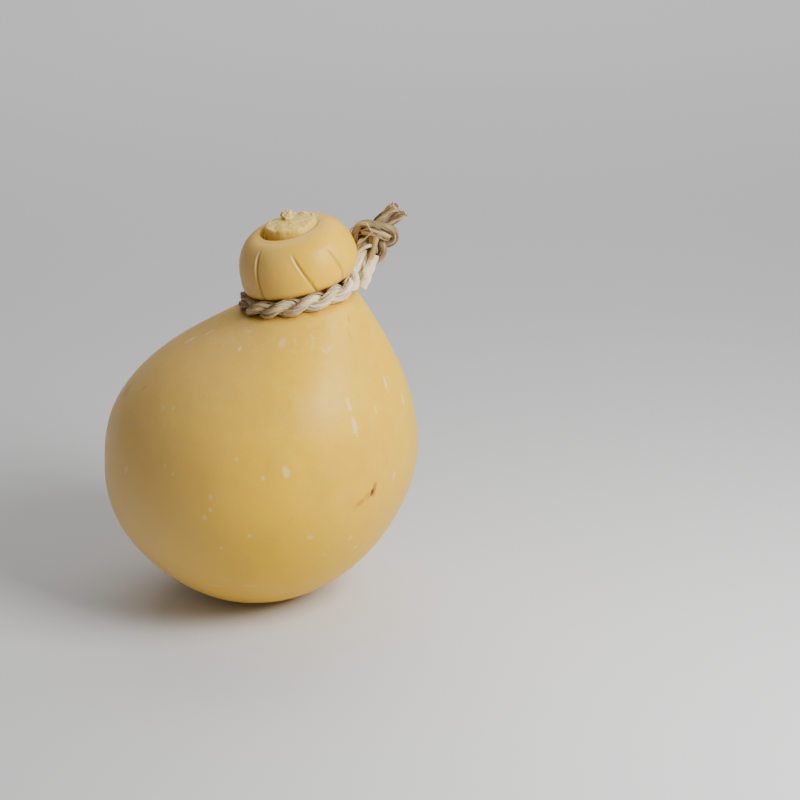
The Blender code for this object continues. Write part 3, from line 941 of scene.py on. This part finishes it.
# %% Stain and bloom beside the cord, and painted shade on the side turned to the left
STAIN_WIDTH = 0.0022
STAIN_SIZE = 0.006
STAIN_EVEN, STAIN_UNEVEN = 0.55, 0.9
BLOOM_AWAY = 0.011
BLOOM_WIDTH = 0.006
BLOOM_SIZE = 0.007
BLOOM_EVEN, BLOOM_UNEVEN = 0.5, 1.2
BLOOM_FADE = 0.004
SHADE_SIDE_FROM, SHADE_SIDE_TO = 0.25, -0.95
SHADE_SIDE_LESS_BEHIND = 0.45
BEHIND_FROM = -0.2


def ragged_band(away, width, even, uneven, size, seed):
    """A soft uneven band at a distance from the cord."""
    band = np.exp(-(((from_cord - away) / width) ** 2))
    return band * (even + uneven * noise_at(places, size, seed))


cord_stain = ragged_band(GROOVE_RADIUS, STAIN_WIDTH, STAIN_EVEN, STAIN_UNEVEN, STAIN_SIZE, 33)
bloom = ragged_band(BLOOM_AWAY, BLOOM_WIDTH, BLOOM_EVEN, BLOOM_UNEVEN, BLOOM_SIZE, 41)
bloom *= smoothstep((RING_MIDDLE.z - places[:, 2]) / BLOOM_FADE)
# Painted shade: the side turned to the left gets a greyer colour, less so towards the back.
shade_side = smoothstep((SHADE_SIDE_FROM - normals[:, 0]) / (SHADE_SIDE_FROM - SHADE_SIDE_TO))
shade_side *= 1 - SHADE_SIDE_LESS_BEHIND * smoothstep(normals[:, 1] - BEHIND_FROM)
print("mean dull share:", round(float(shade_side.mean()), 2))

# %% Give the vertices their places and shares, and smooth the groove
# The torn share also carries the painted highlight on the pleat lips, besides the real torn rim.
shares = np.stack([crease_shade, pale, np.maximum(torn * ragged, lip_highlight), cord_stain, bloom, shade_side], axis=-1)
for vert, place, row in zip(cheese_bm.verts, places, np.clip(shares, 0.0, 1.0)):
    vert.co = place
    for layer, share in zip(share_layers, row):
        vert[layer] = float(share)
neck_verts = [vert for vert, close in zip(cheese_bm.verts, near_cord) if close]
for _ in range(GROOVE_ROUNDS):
    bmesh.ops.smooth_vert(
        cheese_bm, verts=neck_verts, factor=0.5, use_axis_x=True, use_axis_y=True, use_axis_z=True,
    )
print("vertices smoothed:", len(neck_verts))

# %% The finished skin
bmesh.ops.recalc_face_normals(cheese_bm, faces=cheese_bm.faces[:])
cheese = add_piece("cheese_skin", cheese_bm)
print("cheese skin:", len(cheese.data.polygons), "faces")

# %% [markdown]
# ## The pinched nib
# Where the curd was torn off, a crumb of it stands on the head: a few pale lumps, together about 5 mm
# across. Lumps are easy to get from spheres pushed about by noise, and their feet sink into the plug.

# %% Nib
NIB_PLACE = Vector((-0.0005, 0.0080, 0.0205))
NIB_LUMPS = (
    (Vector((-0.0011, 0.0, 0.0006)), 0.0019), (Vector((0.0011, 0.0003, 0.0009)), 0.0017),
    (Vector((0.0001, -0.0004, -0.0010)), 0.0026), (Vector((0.0003, 0.0004, 0.0018)), 0.0011),
)
NIB_ROUGH = 0.22
NIB_CRUMB, NIB_GRIT = 0.0011, 0.0005
NIB_SPREAD = 900


def head_place(point):
    """A point given in the head's own frame, as lean_head does for arrays."""
    return Vector((HEAD_X, 0.0, HEAD_LEVEL)) + turned(NECK_TIP, HEAD_NOD) @ point


nib_bm = bmesh.new()
for offset, size in NIB_LUMPS:
    lump = bmesh.ops.create_icosphere(nib_bm, subdivisions=4, radius=size)["verts"]
    for vert in lump:
        rough = noise.noise(vert.co / NIB_CRUMB + offset * NIB_SPREAD)
        rough += 0.5 * noise.noise(vert.co / NIB_GRIT)
        vert.co = head_place(NIB_PLACE + offset + vert.co * (1 + NIB_ROUGH * rough))
nib = add_piece("pinched_nib", nib_bm)
print("nib:", len(nib.data.polygons), "faces")

# %% [markdown]
# ## Node helpers
# The finishes are node trees. A few small helpers keep them readable: one links or sets the sockets of a
# node, one makes a node, and one opens a node group with named sockets, so that one effect serves several
# materials.

# %% Helpers for node trees
def fill_in(tree, made, inputs):
    """Link each input of a node to another node's output, or set it to a constant."""
    for name, value in inputs.items():
        if isinstance(value, bpy.types.NodeSocket):
            tree.links.new(value, made.inputs[name])
        else:
            made.inputs[name].default_value = value
    return made


def node(tree, kind, inputs=None, **settings):
    """A shader node with its settings and its inputs."""
    made = tree.nodes.new("ShaderNode" + kind)
    for name, value in settings.items():
        setattr(made, name, value)
    return fill_in(tree, made, inputs or {})


def math_of(tree, operation, first, second=0.0, clamp=False):
    return node(tree, "Math", {0: first, 1: second}, operation=operation, use_clamp=clamp).outputs[0]


def times(tree, first, second):
    return math_of(tree, "MULTIPLY", first, second)


def mixed(tree, factor, first, second):
    return node(tree, "Mix", {0: factor, 6: first, 7: second}, data_type="RGBA").outputs[2]


def ranged(tree, value, low, high, to_low=0.0, to_high=1.0):
    inputs = {"Value": value, "From Min": low, "From Max": high, "To Min": to_low, "To Max": to_high}
    return node(tree, "MapRange", inputs, interpolation_type="SMOOTHSTEP").outputs["Result"]


def noise_of(tree, position, scale, detail=2.0, roughness=0.5, distortion=0.0):
    inputs = {"Vector": position, "Scale": scale, "Detail": detail, "Roughness": roughness}
    return node(tree, "TexNoise", {**inputs, "Distortion": distortion}).outputs["Fac"]


def share_of(tree, name):
    """A share that the mesh carries at each vertex."""
    return node(tree, "Attribute", attribute_name=name).outputs["Fac"]


def open_group(name, inputs, outputs):
    """A new node group with named sockets: the tree, its inputs' sockets and its output node."""
    tree = bpy.data.node_groups.new(name, "ShaderNodeTree")
    for title, kind in inputs.items():
        tree.interface.new_socket(title, in_out="INPUT", socket_type="NodeSocket" + kind)
    for title in outputs:
        tree.interface.new_socket(title, in_out="OUTPUT", socket_type="NodeSocketFloat")
    return tree, tree.nodes.new("NodeGroupInput").outputs, tree.nodes.new("NodeGroupOutput")


def placed(tree, group, inputs):
    """A group's node in a tree, with its inputs."""
    return node(tree, "Group", inputs, node_tree=group)


def new_material(name):
    """A new material, its tree, its shader and the place of each point in Object coordinates."""
    material = bpy.data.materials.new(name)
    material.use_nodes = True
    tree = material.node_tree
    return material, tree, tree.nodes["Principled BSDF"], node(tree, "TexCoord").outputs["Object"]


# %% [markdown]
# ## Effects shared by the finishes
# Three effects are used more than once. Curd tone drifts slowly over centimetres and mottles over
# millimetres. Curd grain is the fine height of the rind. A rind mark is a ragged spot that faces out at
# one place on the cheese. It can be wide or high, and it can lean, so the same group makes a chip, a
# streak, a scar and a stain.

# %% Curd tone
curd_tone, given, result = open_group("curd_tone", {"Position": "Vector"}, ("Drift", "Mottle"))
drift = noise_of(curd_tone, given["Position"], scale=22.0, detail=3.0, distortion=0.4)
mottle = noise_of(curd_tone, given["Position"], scale=160.0, detail=5.0, roughness=0.6, distortion=0.2)
fill_in(curd_tone, result, {
    "Drift": ranged(curd_tone, drift, low=0.32, high=0.68),
    "Mottle": ranged(curd_tone, mottle, low=0.30, high=0.72),
})

# %% Curd grain
PORES, DIMPLES = 0.45, 0.55
curd_grain, given, result = open_group("curd_grain", {"Position": "Vector"}, ("Height",))
pores = noise_of(curd_grain, given["Position"], scale=900.0, detail=4.0, roughness=0.6)
dimples = noise_of(curd_grain, given["Position"], scale=260.0)
both = math_of(curd_grain, "ADD", times(curd_grain, pores, PORES), times(curd_grain, dimples, DIMPLES))
fill_in(curd_grain, result, {"Height": both})

# %% Rind mark
MARK_INNER, MARK_OUTER = 0.55, 1.15
mark_inputs = {
    "Position": "Vector", "Place": "Vector", "Turn": "Float", "Tilt": "Float",
    "Size": "Vector", "Rag": "Float",
}
rind_mark, given, result = open_group("rind_mark", mark_inputs, ("Mask",))
from_place = {0: given["Position"], 1: given["Place"]}
spot = node(rind_mark, "VectorMath", from_place, operation="SUBTRACT").outputs[0]
for axis, turn in (("Z_AXIS", given["Turn"]), ("Y_AXIS", given["Tilt"])):
    spot = node(rind_mark, "VectorRotate", {"Vector": spot, "Angle": turn}, rotation_type=axis).outputs[0]
spot = node(rind_mark, "VectorMath", {0: spot, 1: given["Size"]}, operation="DIVIDE").outputs[0]
distance = node(rind_mark, "VectorMath", {0: spot}, operation="LENGTH").outputs["Value"]
uneven = math_of(rind_mark, "ADD", distance, given["Rag"])
fill_in(rind_mark, result, {"Mask": ranged(rind_mark, uneven, MARK_INNER, MARK_OUTER, 1.0, 0.0)})
print("groups:", [group.name for group in bpy.data.node_groups])

# %% [markdown]
# ## Rind
# The rind is smooth, slightly waxy and a warm straw yellow that drifts to tan. Light goes a few
# millimetres into it, so subsurface scattering softens the shadows. Creases get a darker, more orange
# tone as painted shade, and the side turned to the left a greyer tone as painted shade. A coat would
# look like plastic, so the gloss comes from a medium roughness, and the grain breaks it up.

# %% Colours of the rind
RIND_YELLOW = (0.84, 0.493, 0.004, 1)
RIND_TAN = (0.76, 0.440, 0.014, 1)
# Painted shade: the greyer colour of the side turned to the left.
RIND_SHADE_SIDE = (0.77, 0.498, 0.225, 1)
RIND_PALE = (0.86, 0.56, 0.06, 1)
RIND_PLUG = (0.78, 0.570, 0.125, 1)
# Painted shade: the darker colour of the creases and of the rind beside the cord.
RIND_CREASE_SHADE = (0.50, 0.240, 0.012, 1)
CORD_STAIN = (0.66, 0.270, 0.020, 1)
# Real chips and torn curd, and also the painted highlight on the pleat lips through the torn share.
CHIP_AND_LIP_HIGHLIGHT_WHITE = (0.88, 0.73, 0.38, 1)
MOTTLE_AMOUNT = 0.24
SHADE_SIDE_AMOUNT = 0.75
SHARE_TINTS = (
    ("plug", 0.75, RIND_PLUG), ("crease_shade", 0.85, RIND_CREASE_SHADE), ("bloom", 0.40, RIND_PALE),
    ("cord_stain", 0.80, CORD_STAIN), ("torn", 0.55, CHIP_AND_LIP_HIGHLIGHT_WHITE),
)

# %% Rind material
rind, tree, shader, position = new_material("cheese_rind")
tone = placed(tree, curd_tone, {"Position": position}).outputs
colour = mixed(tree, tone["Drift"], RIND_TAN, RIND_YELLOW)
# Painted shade on the side turned to the left.
colour = mixed(tree, times(tree, share_of(tree, "shade_side"), SHADE_SIDE_AMOUNT), colour, RIND_SHADE_SIDE)
colour = mixed(tree, times(tree, tone["Mottle"], MOTTLE_AMOUNT), colour, RIND_PALE)
for name, amount, tint in SHARE_TINTS:
    colour = mixed(tree, times(tree, share_of(tree, name), amount), colour, tint)

# %% Small flecks all over the rind
FLECK_SCALE = 88.0
FLECK_RARE = 0.90
FLECK_SMALL, FLECK_LARGE = 0.04, 0.11
FLECK_RAG = 0.12
FLECK_AMOUNT = 0.45
BODY_TOP, BODY_TOP_END = 0.138, 0.142
cells = node(tree, "TexVoronoi", {"Vector": position, "Scale": FLECK_SCALE, "Randomness": 1.0}, feature="F1")
cell_pick = node(tree, "SeparateColor", {"Color": cells.outputs["Color"]}).outputs
chosen = math_of(tree, "GREATER_THAN", cell_pick[0], FLECK_RARE)
fleck_size = ranged(tree, cell_pick[1], 0.0, 1.0, FLECK_SMALL, FLECK_LARGE)
rag = math_of(tree, "SUBTRACT", noise_of(tree, position, scale=1100.0, detail=3.0, roughness=0.6), 0.5)
fleck_edge = math_of(tree, "ADD", cells.outputs["Distance"], times(tree, rag, FLECK_RAG))
height_here = node(tree, "SeparateXYZ", {0: position}).outputs["Z"]
body_only = ranged(tree, height_here, BODY_TOP, BODY_TOP_END, 1.0, 0.0)
fleck = times(tree, math_of(tree, "LESS_THAN", fleck_edge, fleck_size), chosen)
fleck = times(tree, times(tree, fleck, body_only), FLECK_AMOUNT)
print("share of cells with a fleck:", round(1 - FLECK_RARE, 2))

# %% Curly scratches on the shoulder, as fine as hairs
SCRATCH_FINE, SCRATCH_LINE = 0.008, 0.026
SCRATCH_LOW, SCRATCH_HIGH = 0.120, 0.134
SCRATCH_AMOUNT = 0.28
PATCH_FROM, PATCH_FULL = 0.57, 0.64
curls = noise_of(tree, position, scale=130.0, detail=1.0, roughness=0.3, distortion=0.8)
away_from_middle = math_of(tree, "ABSOLUTE", math_of(tree, "SUBTRACT", curls, 0.5))
scratch = ranged(tree, away_from_middle, SCRATCH_FINE, SCRATCH_LINE, 1.0, 0.0)
patches = ranged(tree, noise_of(tree, position, scale=110.0, detail=1.0), PATCH_FROM, PATCH_FULL)
high_up = ranged(tree, height_here, SCRATCH_LOW, SCRATCH_HIGH, 0.0, SCRATCH_AMOUNT)
scratch = times(tree, times(tree, times(tree, scratch, patches), body_only), high_up)
marked = math_of(tree, "MAXIMUM", fleck, scratch)
print("scratches from", SCRATCH_LOW, "m up")

# %% Where a mark sits: its angle round the cheese in degrees and its height in millimetres
MARK_DEPTH = 0.006
MARK_RAG = 1.6
body_levels = [point[1] for point in profile[: LOWER_RINGS + SHOULDER_RINGS + 1]]
body_radii = [point[0] for point in profile[: LOWER_RINGS + SHOULDER_RINGS + 1]]


def mark_mask(row):
    """The mask of one mark, from its angle, height, half width, half height, lean and strength."""
    around, height, half_width, half_height, lean, strength = row
    turn, level = math.radians(around), height / 1000
    radius = np.interp(level, body_levels, body_radii)
    place = lean_body(np.array([radius]), np.array([turn]), np.array([level]))[0]
    spot = placed(tree, rind_mark, {
        "Position": position, "Place": tuple(place), "Turn": math.pi / 2 - turn, "Tilt": math.radians(lean),
        "Size": (half_width / 1000, MARK_DEPTH, half_height / 1000), "Rag": times(tree, rag, MARK_RAG),
    })
    return times(tree, spot.outputs["Mask"], strength)


def marks_together(rows, first=0.0):
    """The strongest of several marks at each place."""
    together = first
    for row in rows:
        together = math_of(tree, "MAXIMUM", together, mark_mask(row))
    return together


# %% Chips, streaks and scuffs
CHIPS = (
    (-78, 86, 1.8, 3.2, -10, 0.48), (-50, 100, 1.5, 4.2, 0, 0.52), (-52, 109, 1.1, 3.0, 0, 0.40),
    (-38, 104, 0.8, 2.0, 0, 0.28), (-26, 111, 0.8, 4.2, 15, 0.56), (-15, 101, 1.5, 3.4, 10, 0.36),
    (-121, 131, 1.0, 0.9, 0, 0.80), (-169, 127, 1.1, 2.0, 0, 0.90), (-163, 132, 0.9, 1.3, 0, 0.75),
    (-94, 134, 1.6, 2.2, 20, 0.28), (-85, 134, 0.7, 2.0, -20, 0.20), (-72, 132, 0.7, 2.2, 25, 0.20),
    (-135, 106, 0.9, 1.5, 0, 0.24), (-143, 77, 1.6, 2.2, 20, 0.36), (-123, 85, 0.9, 1.0, 0, 0.32),
    (-96, 92, 0.9, 1.2, 0, 0.24), (-86, 84, 1.0, 1.3, 0, 0.40), (-104, 75, 1.1, 1.6, 0, 0.32),
    (-106, 65, 1.4, 1.5, 0, 0.40), (-104, 69, 0.8, 1.3, 0, 0.32), (-90, 57, 1.1, 1.1, 0, 0.32),
    (-100, 50, 1.1, 0.9, 0, 0.32), (-68, 54, 1.5, 1.4, 0, 0.36), (-50, 48, 1.2, 1.3, 0, 0.44),
    (-32, 72, 1.2, 2.4, 20, 0.40), (-60, 42, 1.4, 1.1, 30, 0.24), (-108, 24, 4.0, 1.2, 0, 0.20),
    (-90, 26, 3.5, 1.0, 0, 0.20), (40, 96, 1.4, 4.5, 8, 0.36), (75, 70, 1.6, 1.8, 0, 0.40),
    (110, 104, 1.0, 3.4, -12, 0.32), (140, 60, 2.2, 1.4, 0, 0.32),
)
chips = marks_together(CHIPS, marked)
colour = mixed(tree, chips, colour, CHIP_AND_LIP_HIGHLIGHT_WHITE)

# %% The scar with its smear, and brown stains
SMEAR_YELLOW = (0.64, 0.300, 0.002, 1)
SCAR_ORANGE = (0.58, 0.190, 0.005, 1)
SCAR_BROWN = (0.140, 0.045, 0.012, 1)
STAIN_BROWN = (0.40, 0.205, 0.070, 1)
STAINS = (
    (-170, 103, 5.0, 3.4, 20, 0.26), (-156, 109, 1.6, 1.2, 0, 0.30), (-76, 64, 1.0, 2.4, 20, 0.14),
    (-36, 80, 0.9, 1.2, 0, 0.30), (-38, 138, 0.6, 2.6, 30, 0.35), (-43, 133, 0.5, 2.4, 0, 0.35),
    (62, 88, 1.2, 2.4, 10, 0.35),
)
SMEARS = ((-49, 66, 3.4, 1.5, -25, 1.00), (-46, 68, 1.8, 2.2, 0, 0.80))
SCAR_RIM = ((-43, 70, 1.5, 4.0, 14, 0.95),)
SCAR_MIDDLE = ((-44, 69, 1.05, 2.1, 14, 1.00),)
SCAR_PIT = (-44, 70, 0.9, 3.6, 14, 1.0)
tinted_marks = (
    (STAINS, STAIN_BROWN), (SMEARS, SMEAR_YELLOW), (SCAR_RIM, SCAR_ORANGE), (SCAR_MIDDLE, SCAR_BROWN),
)
for rows, tint in tinted_marks:
    colour = mixed(tree, marks_together(rows), colour, tint)
print("marks on the rind:", len(CHIPS) + sum(len(rows) for rows, tint in tinted_marks))

# %% Gloss and relief of the rind
CHIP_PIT, SCAR_PIT_DEPTH = 0.7, 1.6
GLOSS_FROM, GLOSS_TO = 0.37, 0.48
grain = placed(tree, curd_grain, {"Position": position}).outputs["Height"]
pits = math_of(tree, "ADD", times(tree, chips, CHIP_PIT), times(tree, mark_mask(SCAR_PIT), SCAR_PIT_DEPTH))
relief_height = math_of(tree, "SUBTRACT", grain, pits)
fill_in(tree, shader, {
    "Base Color": colour,
    "Roughness": ranged(tree, tone["Mottle"], 0.0, 1.0, GLOSS_FROM, GLOSS_TO),
    "Normal": node(tree, "Bump", {"Strength": 0.35, "Distance": 0.0004, "Height": relief_height}).outputs[0],
    "Subsurface Weight": 0.22,
    "Subsurface Radius": (1.0, 0.6, 0.25),
    "Subsurface Scale": 0.006,
    "Specular IOR Level": 0.26,
})
cheese.data.materials.append(rind)
print("nodes in the rind:", len(tree.nodes))

# %% [markdown]
# ## Torn curd
# The nib is raw inside curd that dried: paler than the rind, crumbly and matt. It shares the tone and the
# grain groups with the rind, with other values.

# %% Torn curd material
CURD_PALE = (0.80, 0.63, 0.23, 1)
CURD_SHADE = (0.70, 0.46, 0.12, 1)
CURD_GLOSS_FROM, CURD_GLOSS_TO = 0.55, 0.8
torn_curd, tree, shader, position = new_material("torn_curd")
mottle = placed(tree, curd_tone, {"Position": position}).outputs["Mottle"]
grain = placed(tree, curd_grain, {"Position": position}).outputs["Height"]
fill_in(tree, shader, {
    "Base Color": mixed(tree, mottle, CURD_SHADE, CURD_PALE),
    "Roughness": ranged(tree, mottle, 0.0, 1.0, CURD_GLOSS_FROM, CURD_GLOSS_TO),
    "Normal": node(tree, "Bump", {"Strength": 0.8, "Distance": 0.0006, "Height": grain}).outputs[0],
    "Subsurface Weight": 0.3,
    "Subsurface Radius": (1.0, 0.7, 0.4),
    "Subsurface Scale": 0.003,
})
nib.data.materials.append(torn_curd)
print("nodes in the torn curd:", len(tree.nodes))

# %% [markdown]
# ## Straw
# Dry leaf is pale, matt and ribbed along its length. The ribs follow each leaf, so they read the leaf's
# own UV map, where V is the distance along it in metres. Every leaf also carries a tone of its own, so
# that neighbours differ.

# %% Straw ribs
RIB_STRETCH = (6.0, 60.0, 1.0)
BLOTCH_STRETCH = (2.0, 240.0, 1.0)
EDGE_SHARPNESS = 7.0
straw_ribs, given, result = open_group("straw_ribs", {"UV": "Vector"}, ("Ribs", "Blotch", "Edge"))
rib_place = node(straw_ribs, "Mapping", {"Vector": given["UV"], "Scale": RIB_STRETCH}).outputs[0]
rib_noise = noise_of(straw_ribs, rib_place, scale=1.0, detail=4.0, roughness=0.65)
blotch_place = node(straw_ribs, "Mapping", {"Vector": given["UV"], "Scale": BLOTCH_STRETCH}).outputs[0]
blotch_noise = noise_of(straw_ribs, blotch_place, scale=1.0, detail=3.0, roughness=0.6)
turn = times(straw_ribs, node(straw_ribs, "SeparateXYZ", {0: given["UV"]}).outputs["X"], 2 * math.pi)
to_edge = math_of(straw_ribs, "ABSOLUTE", math_of(straw_ribs, "COSINE", turn))
fill_in(straw_ribs, result, {
    "Ribs": ranged(straw_ribs, rib_noise, low=0.36, high=0.64),
    "Blotch": ranged(straw_ribs, blotch_noise, low=0.40, high=0.66),
    "Edge": math_of(straw_ribs, "POWER", to_edge, EDGE_SHARPNESS),
})
print("outputs of the ribs:", [socket.name for socket in result.inputs if socket.name])

# %% Straw material: leaf tones from darkest to palest, painted shade at the left and painted light at the right
STRAW_TONES = (
    (0.00, (0.120, 0.075, 0.038, 1)), (0.20, (0.350, 0.250, 0.135, 1)), (0.50, (0.630, 0.475, 0.255, 1)),
    (0.80, (0.870, 0.685, 0.360, 1)), (1.00, (0.980, 0.880, 0.610, 1)),
)
STRAW_TAN = (0.60, 0.39, 0.15, 1)
STRAW_DARK = (0.21, 0.125, 0.050, 1)
LEFT_SHADE_X, RIGHT_LIGHT_X = -0.004, 0.036
LEFT_SHADE_AMOUNT, RIGHT_LIGHT_AMOUNT = 0.34, 0.34
KNOT_LOW, KNOT_FADE = 0.164, 0.010
RIGHT_LIGHT_RIBS = 0.5
BLOTCH_AMOUNT = 0.35
RIB_DARK, EDGE_DARK = 0.46, 0.66
STRAW_GLOSS_FROM, STRAW_GLOSS_TO = 0.85, 0.6
straw, tree, shader, position = new_material("straw_cord")
leaf_uv = node(tree, "UVMap", uv_map="leaf").outputs["UV"]
ribs = placed(tree, straw_ribs, {"UV": leaf_uv}).outputs
place = node(tree, "SeparateXYZ", {0: position}).outputs
# Painted shade darkens the straw towards the left; painted light brightens it towards the right below the
# knot, with fainter dark ribs there.
left_shade = ranged(tree, place["X"], LEFT_SHADE_X, RIGHT_LIGHT_X, 1.0, 0.0)
below_knot = ranged(tree, place["Z"], KNOT_LOW, KNOT_LOW - KNOT_FADE, 0.0, 1.0)
right_light = times(tree, math_of(tree, "SUBTRACT", 1.0, left_shade), below_knot)
leaf_tone = math_of(tree, "SUBTRACT", share_of(tree, "straw_tone"), times(tree, left_shade, LEFT_SHADE_AMOUNT))
leaf_tone = math_of(tree, "ADD", leaf_tone, times(tree, right_light, RIGHT_LIGHT_AMOUNT), clamp=True)
tones = node(tree, "ValToRGB", {"Fac": leaf_tone})
for number, (share, tint) in enumerate(STRAW_TONES):
    stop = tones.color_ramp.elements[number] if number < 2 else tones.color_ramp.elements.new(share)
    stop.position, stop.color = share, tint
colour = mixed(tree, times(tree, ribs["Blotch"], BLOTCH_AMOUNT), tones.outputs["Color"], STRAW_TAN)
dark_ribs = times(tree, math_of(tree, "SUBTRACT", 1.0, ribs["Ribs"]), RIB_DARK)
dark = math_of(tree, "MAXIMUM", dark_ribs, times(tree, ribs["Edge"], EDGE_DARK))
dark = times(tree, dark, ranged(tree, right_light, 0.0, 1.0, 1.0, RIGHT_LIGHT_RIBS))
fill_in(tree, shader, {
    "Base Color": mixed(tree, dark, colour, STRAW_DARK),
    "Roughness": ranged(tree, ribs["Ribs"], 0.0, 1.0, STRAW_GLOSS_FROM, STRAW_GLOSS_TO),
    "Normal": node(tree, "Bump", {"Strength": 0.8, "Distance": 0.0003, "Height": ribs["Ribs"]}).outputs[0],
    "Specular IOR Level": 0.3,
})
straw_pieces = (neck_band, end_a, end_b, neck_fibres, end_fibres_a, end_fibres_b, stem_leaves)
for piece in straw_pieces:
    piece.data.materials.append(straw)
print("pieces of straw:", len(straw_pieces))

# %% [markdown]
# ## Everything rides on one body
# Nothing moves on a cheese, so every piece rides on the root. The solids that the new pieces stand for are
# hidden.

# %% Riding, replacing and the cords
for piece in (cheese, nib, *straw_pieces):
    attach(piece, "root")
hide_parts("cheese")
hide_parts("cheese")
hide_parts("cord_neck")
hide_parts("cord_neck")
for piece, solid, loose, route, length in (
    (end_a, "cord_end_a", [end_fibres_a, stem_leaves], end_routes[0], end_lengths[0]),
    (end_b, "cord_end_b", [end_fibres_b], end_routes[1], end_lengths[1]),
):
    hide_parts(solid)
print("cords:", [round(length * 1000, 1) for length in end_lengths], "mm")

# %% [markdown]
# ## Floor and light
# The floor is one flat pale sheet, so large that its end stays out of sight. The key light stands close,
# high at the front right, so its light falls off across the cheese and the floor. A larger and softer
# light hangs over the floor behind the cheese and brightens the distance. The world adds a weak even
# light, so that shadows stay open.

# %% Floor
FLOOR_SIZE = 12.0
FLOOR_GREY = (0.68, 0.68, 0.68, 1)
floor_bm = bmesh.new()
bmesh.ops.create_grid(floor_bm, x_segments=1, y_segments=1, size=FLOOR_SIZE / 2)
floor = add_piece("floor", floor_bm)
paper, tree, shader, position = new_material("studio_paper")
fill_in(tree, shader, {"Base Color": FLOOR_GREY, "Roughness": 0.9})
floor.data.materials.append(paper)
print("floor:", FLOOR_SIZE, "m wide")


# %% Lights
def soft_light(name, place, aim, size, power):
    """A square area light that faces a point, and that the camera doesn't see."""
    data = bpy.data.lights.new(name, "AREA")
    data.size = size
    data.energy = power
    light = bpy.data.objects.new(name, data)
    bpy.context.scene.collection.objects.link(light)
    light.location = place
    light.rotation_euler = (aim - light.location).to_track_quat("-Z", "Y").to_euler()
    light.visible_camera = False


soft_light("key", Vector((0.37, -0.23, 0.40)), aim=Vector((0.015, 0.0, 0.08)), size=0.28, power=4.5)
soft_light("back", Vector((0.2, 1.9, 1.7)), aim=Vector((0.2, 1.9, 0.0)), size=2.4, power=38.0)
world = bpy.data.worlds.new("studio")
world.use_nodes = True
background = world.node_tree.nodes["Background"]
fill_in(world.node_tree, background, {"Color": (1.0, 1.0, 1.0, 1), "Strength": 0.26})
bpy.context.scene.world = world
print("lights:", [data.name for data in bpy.data.lights])
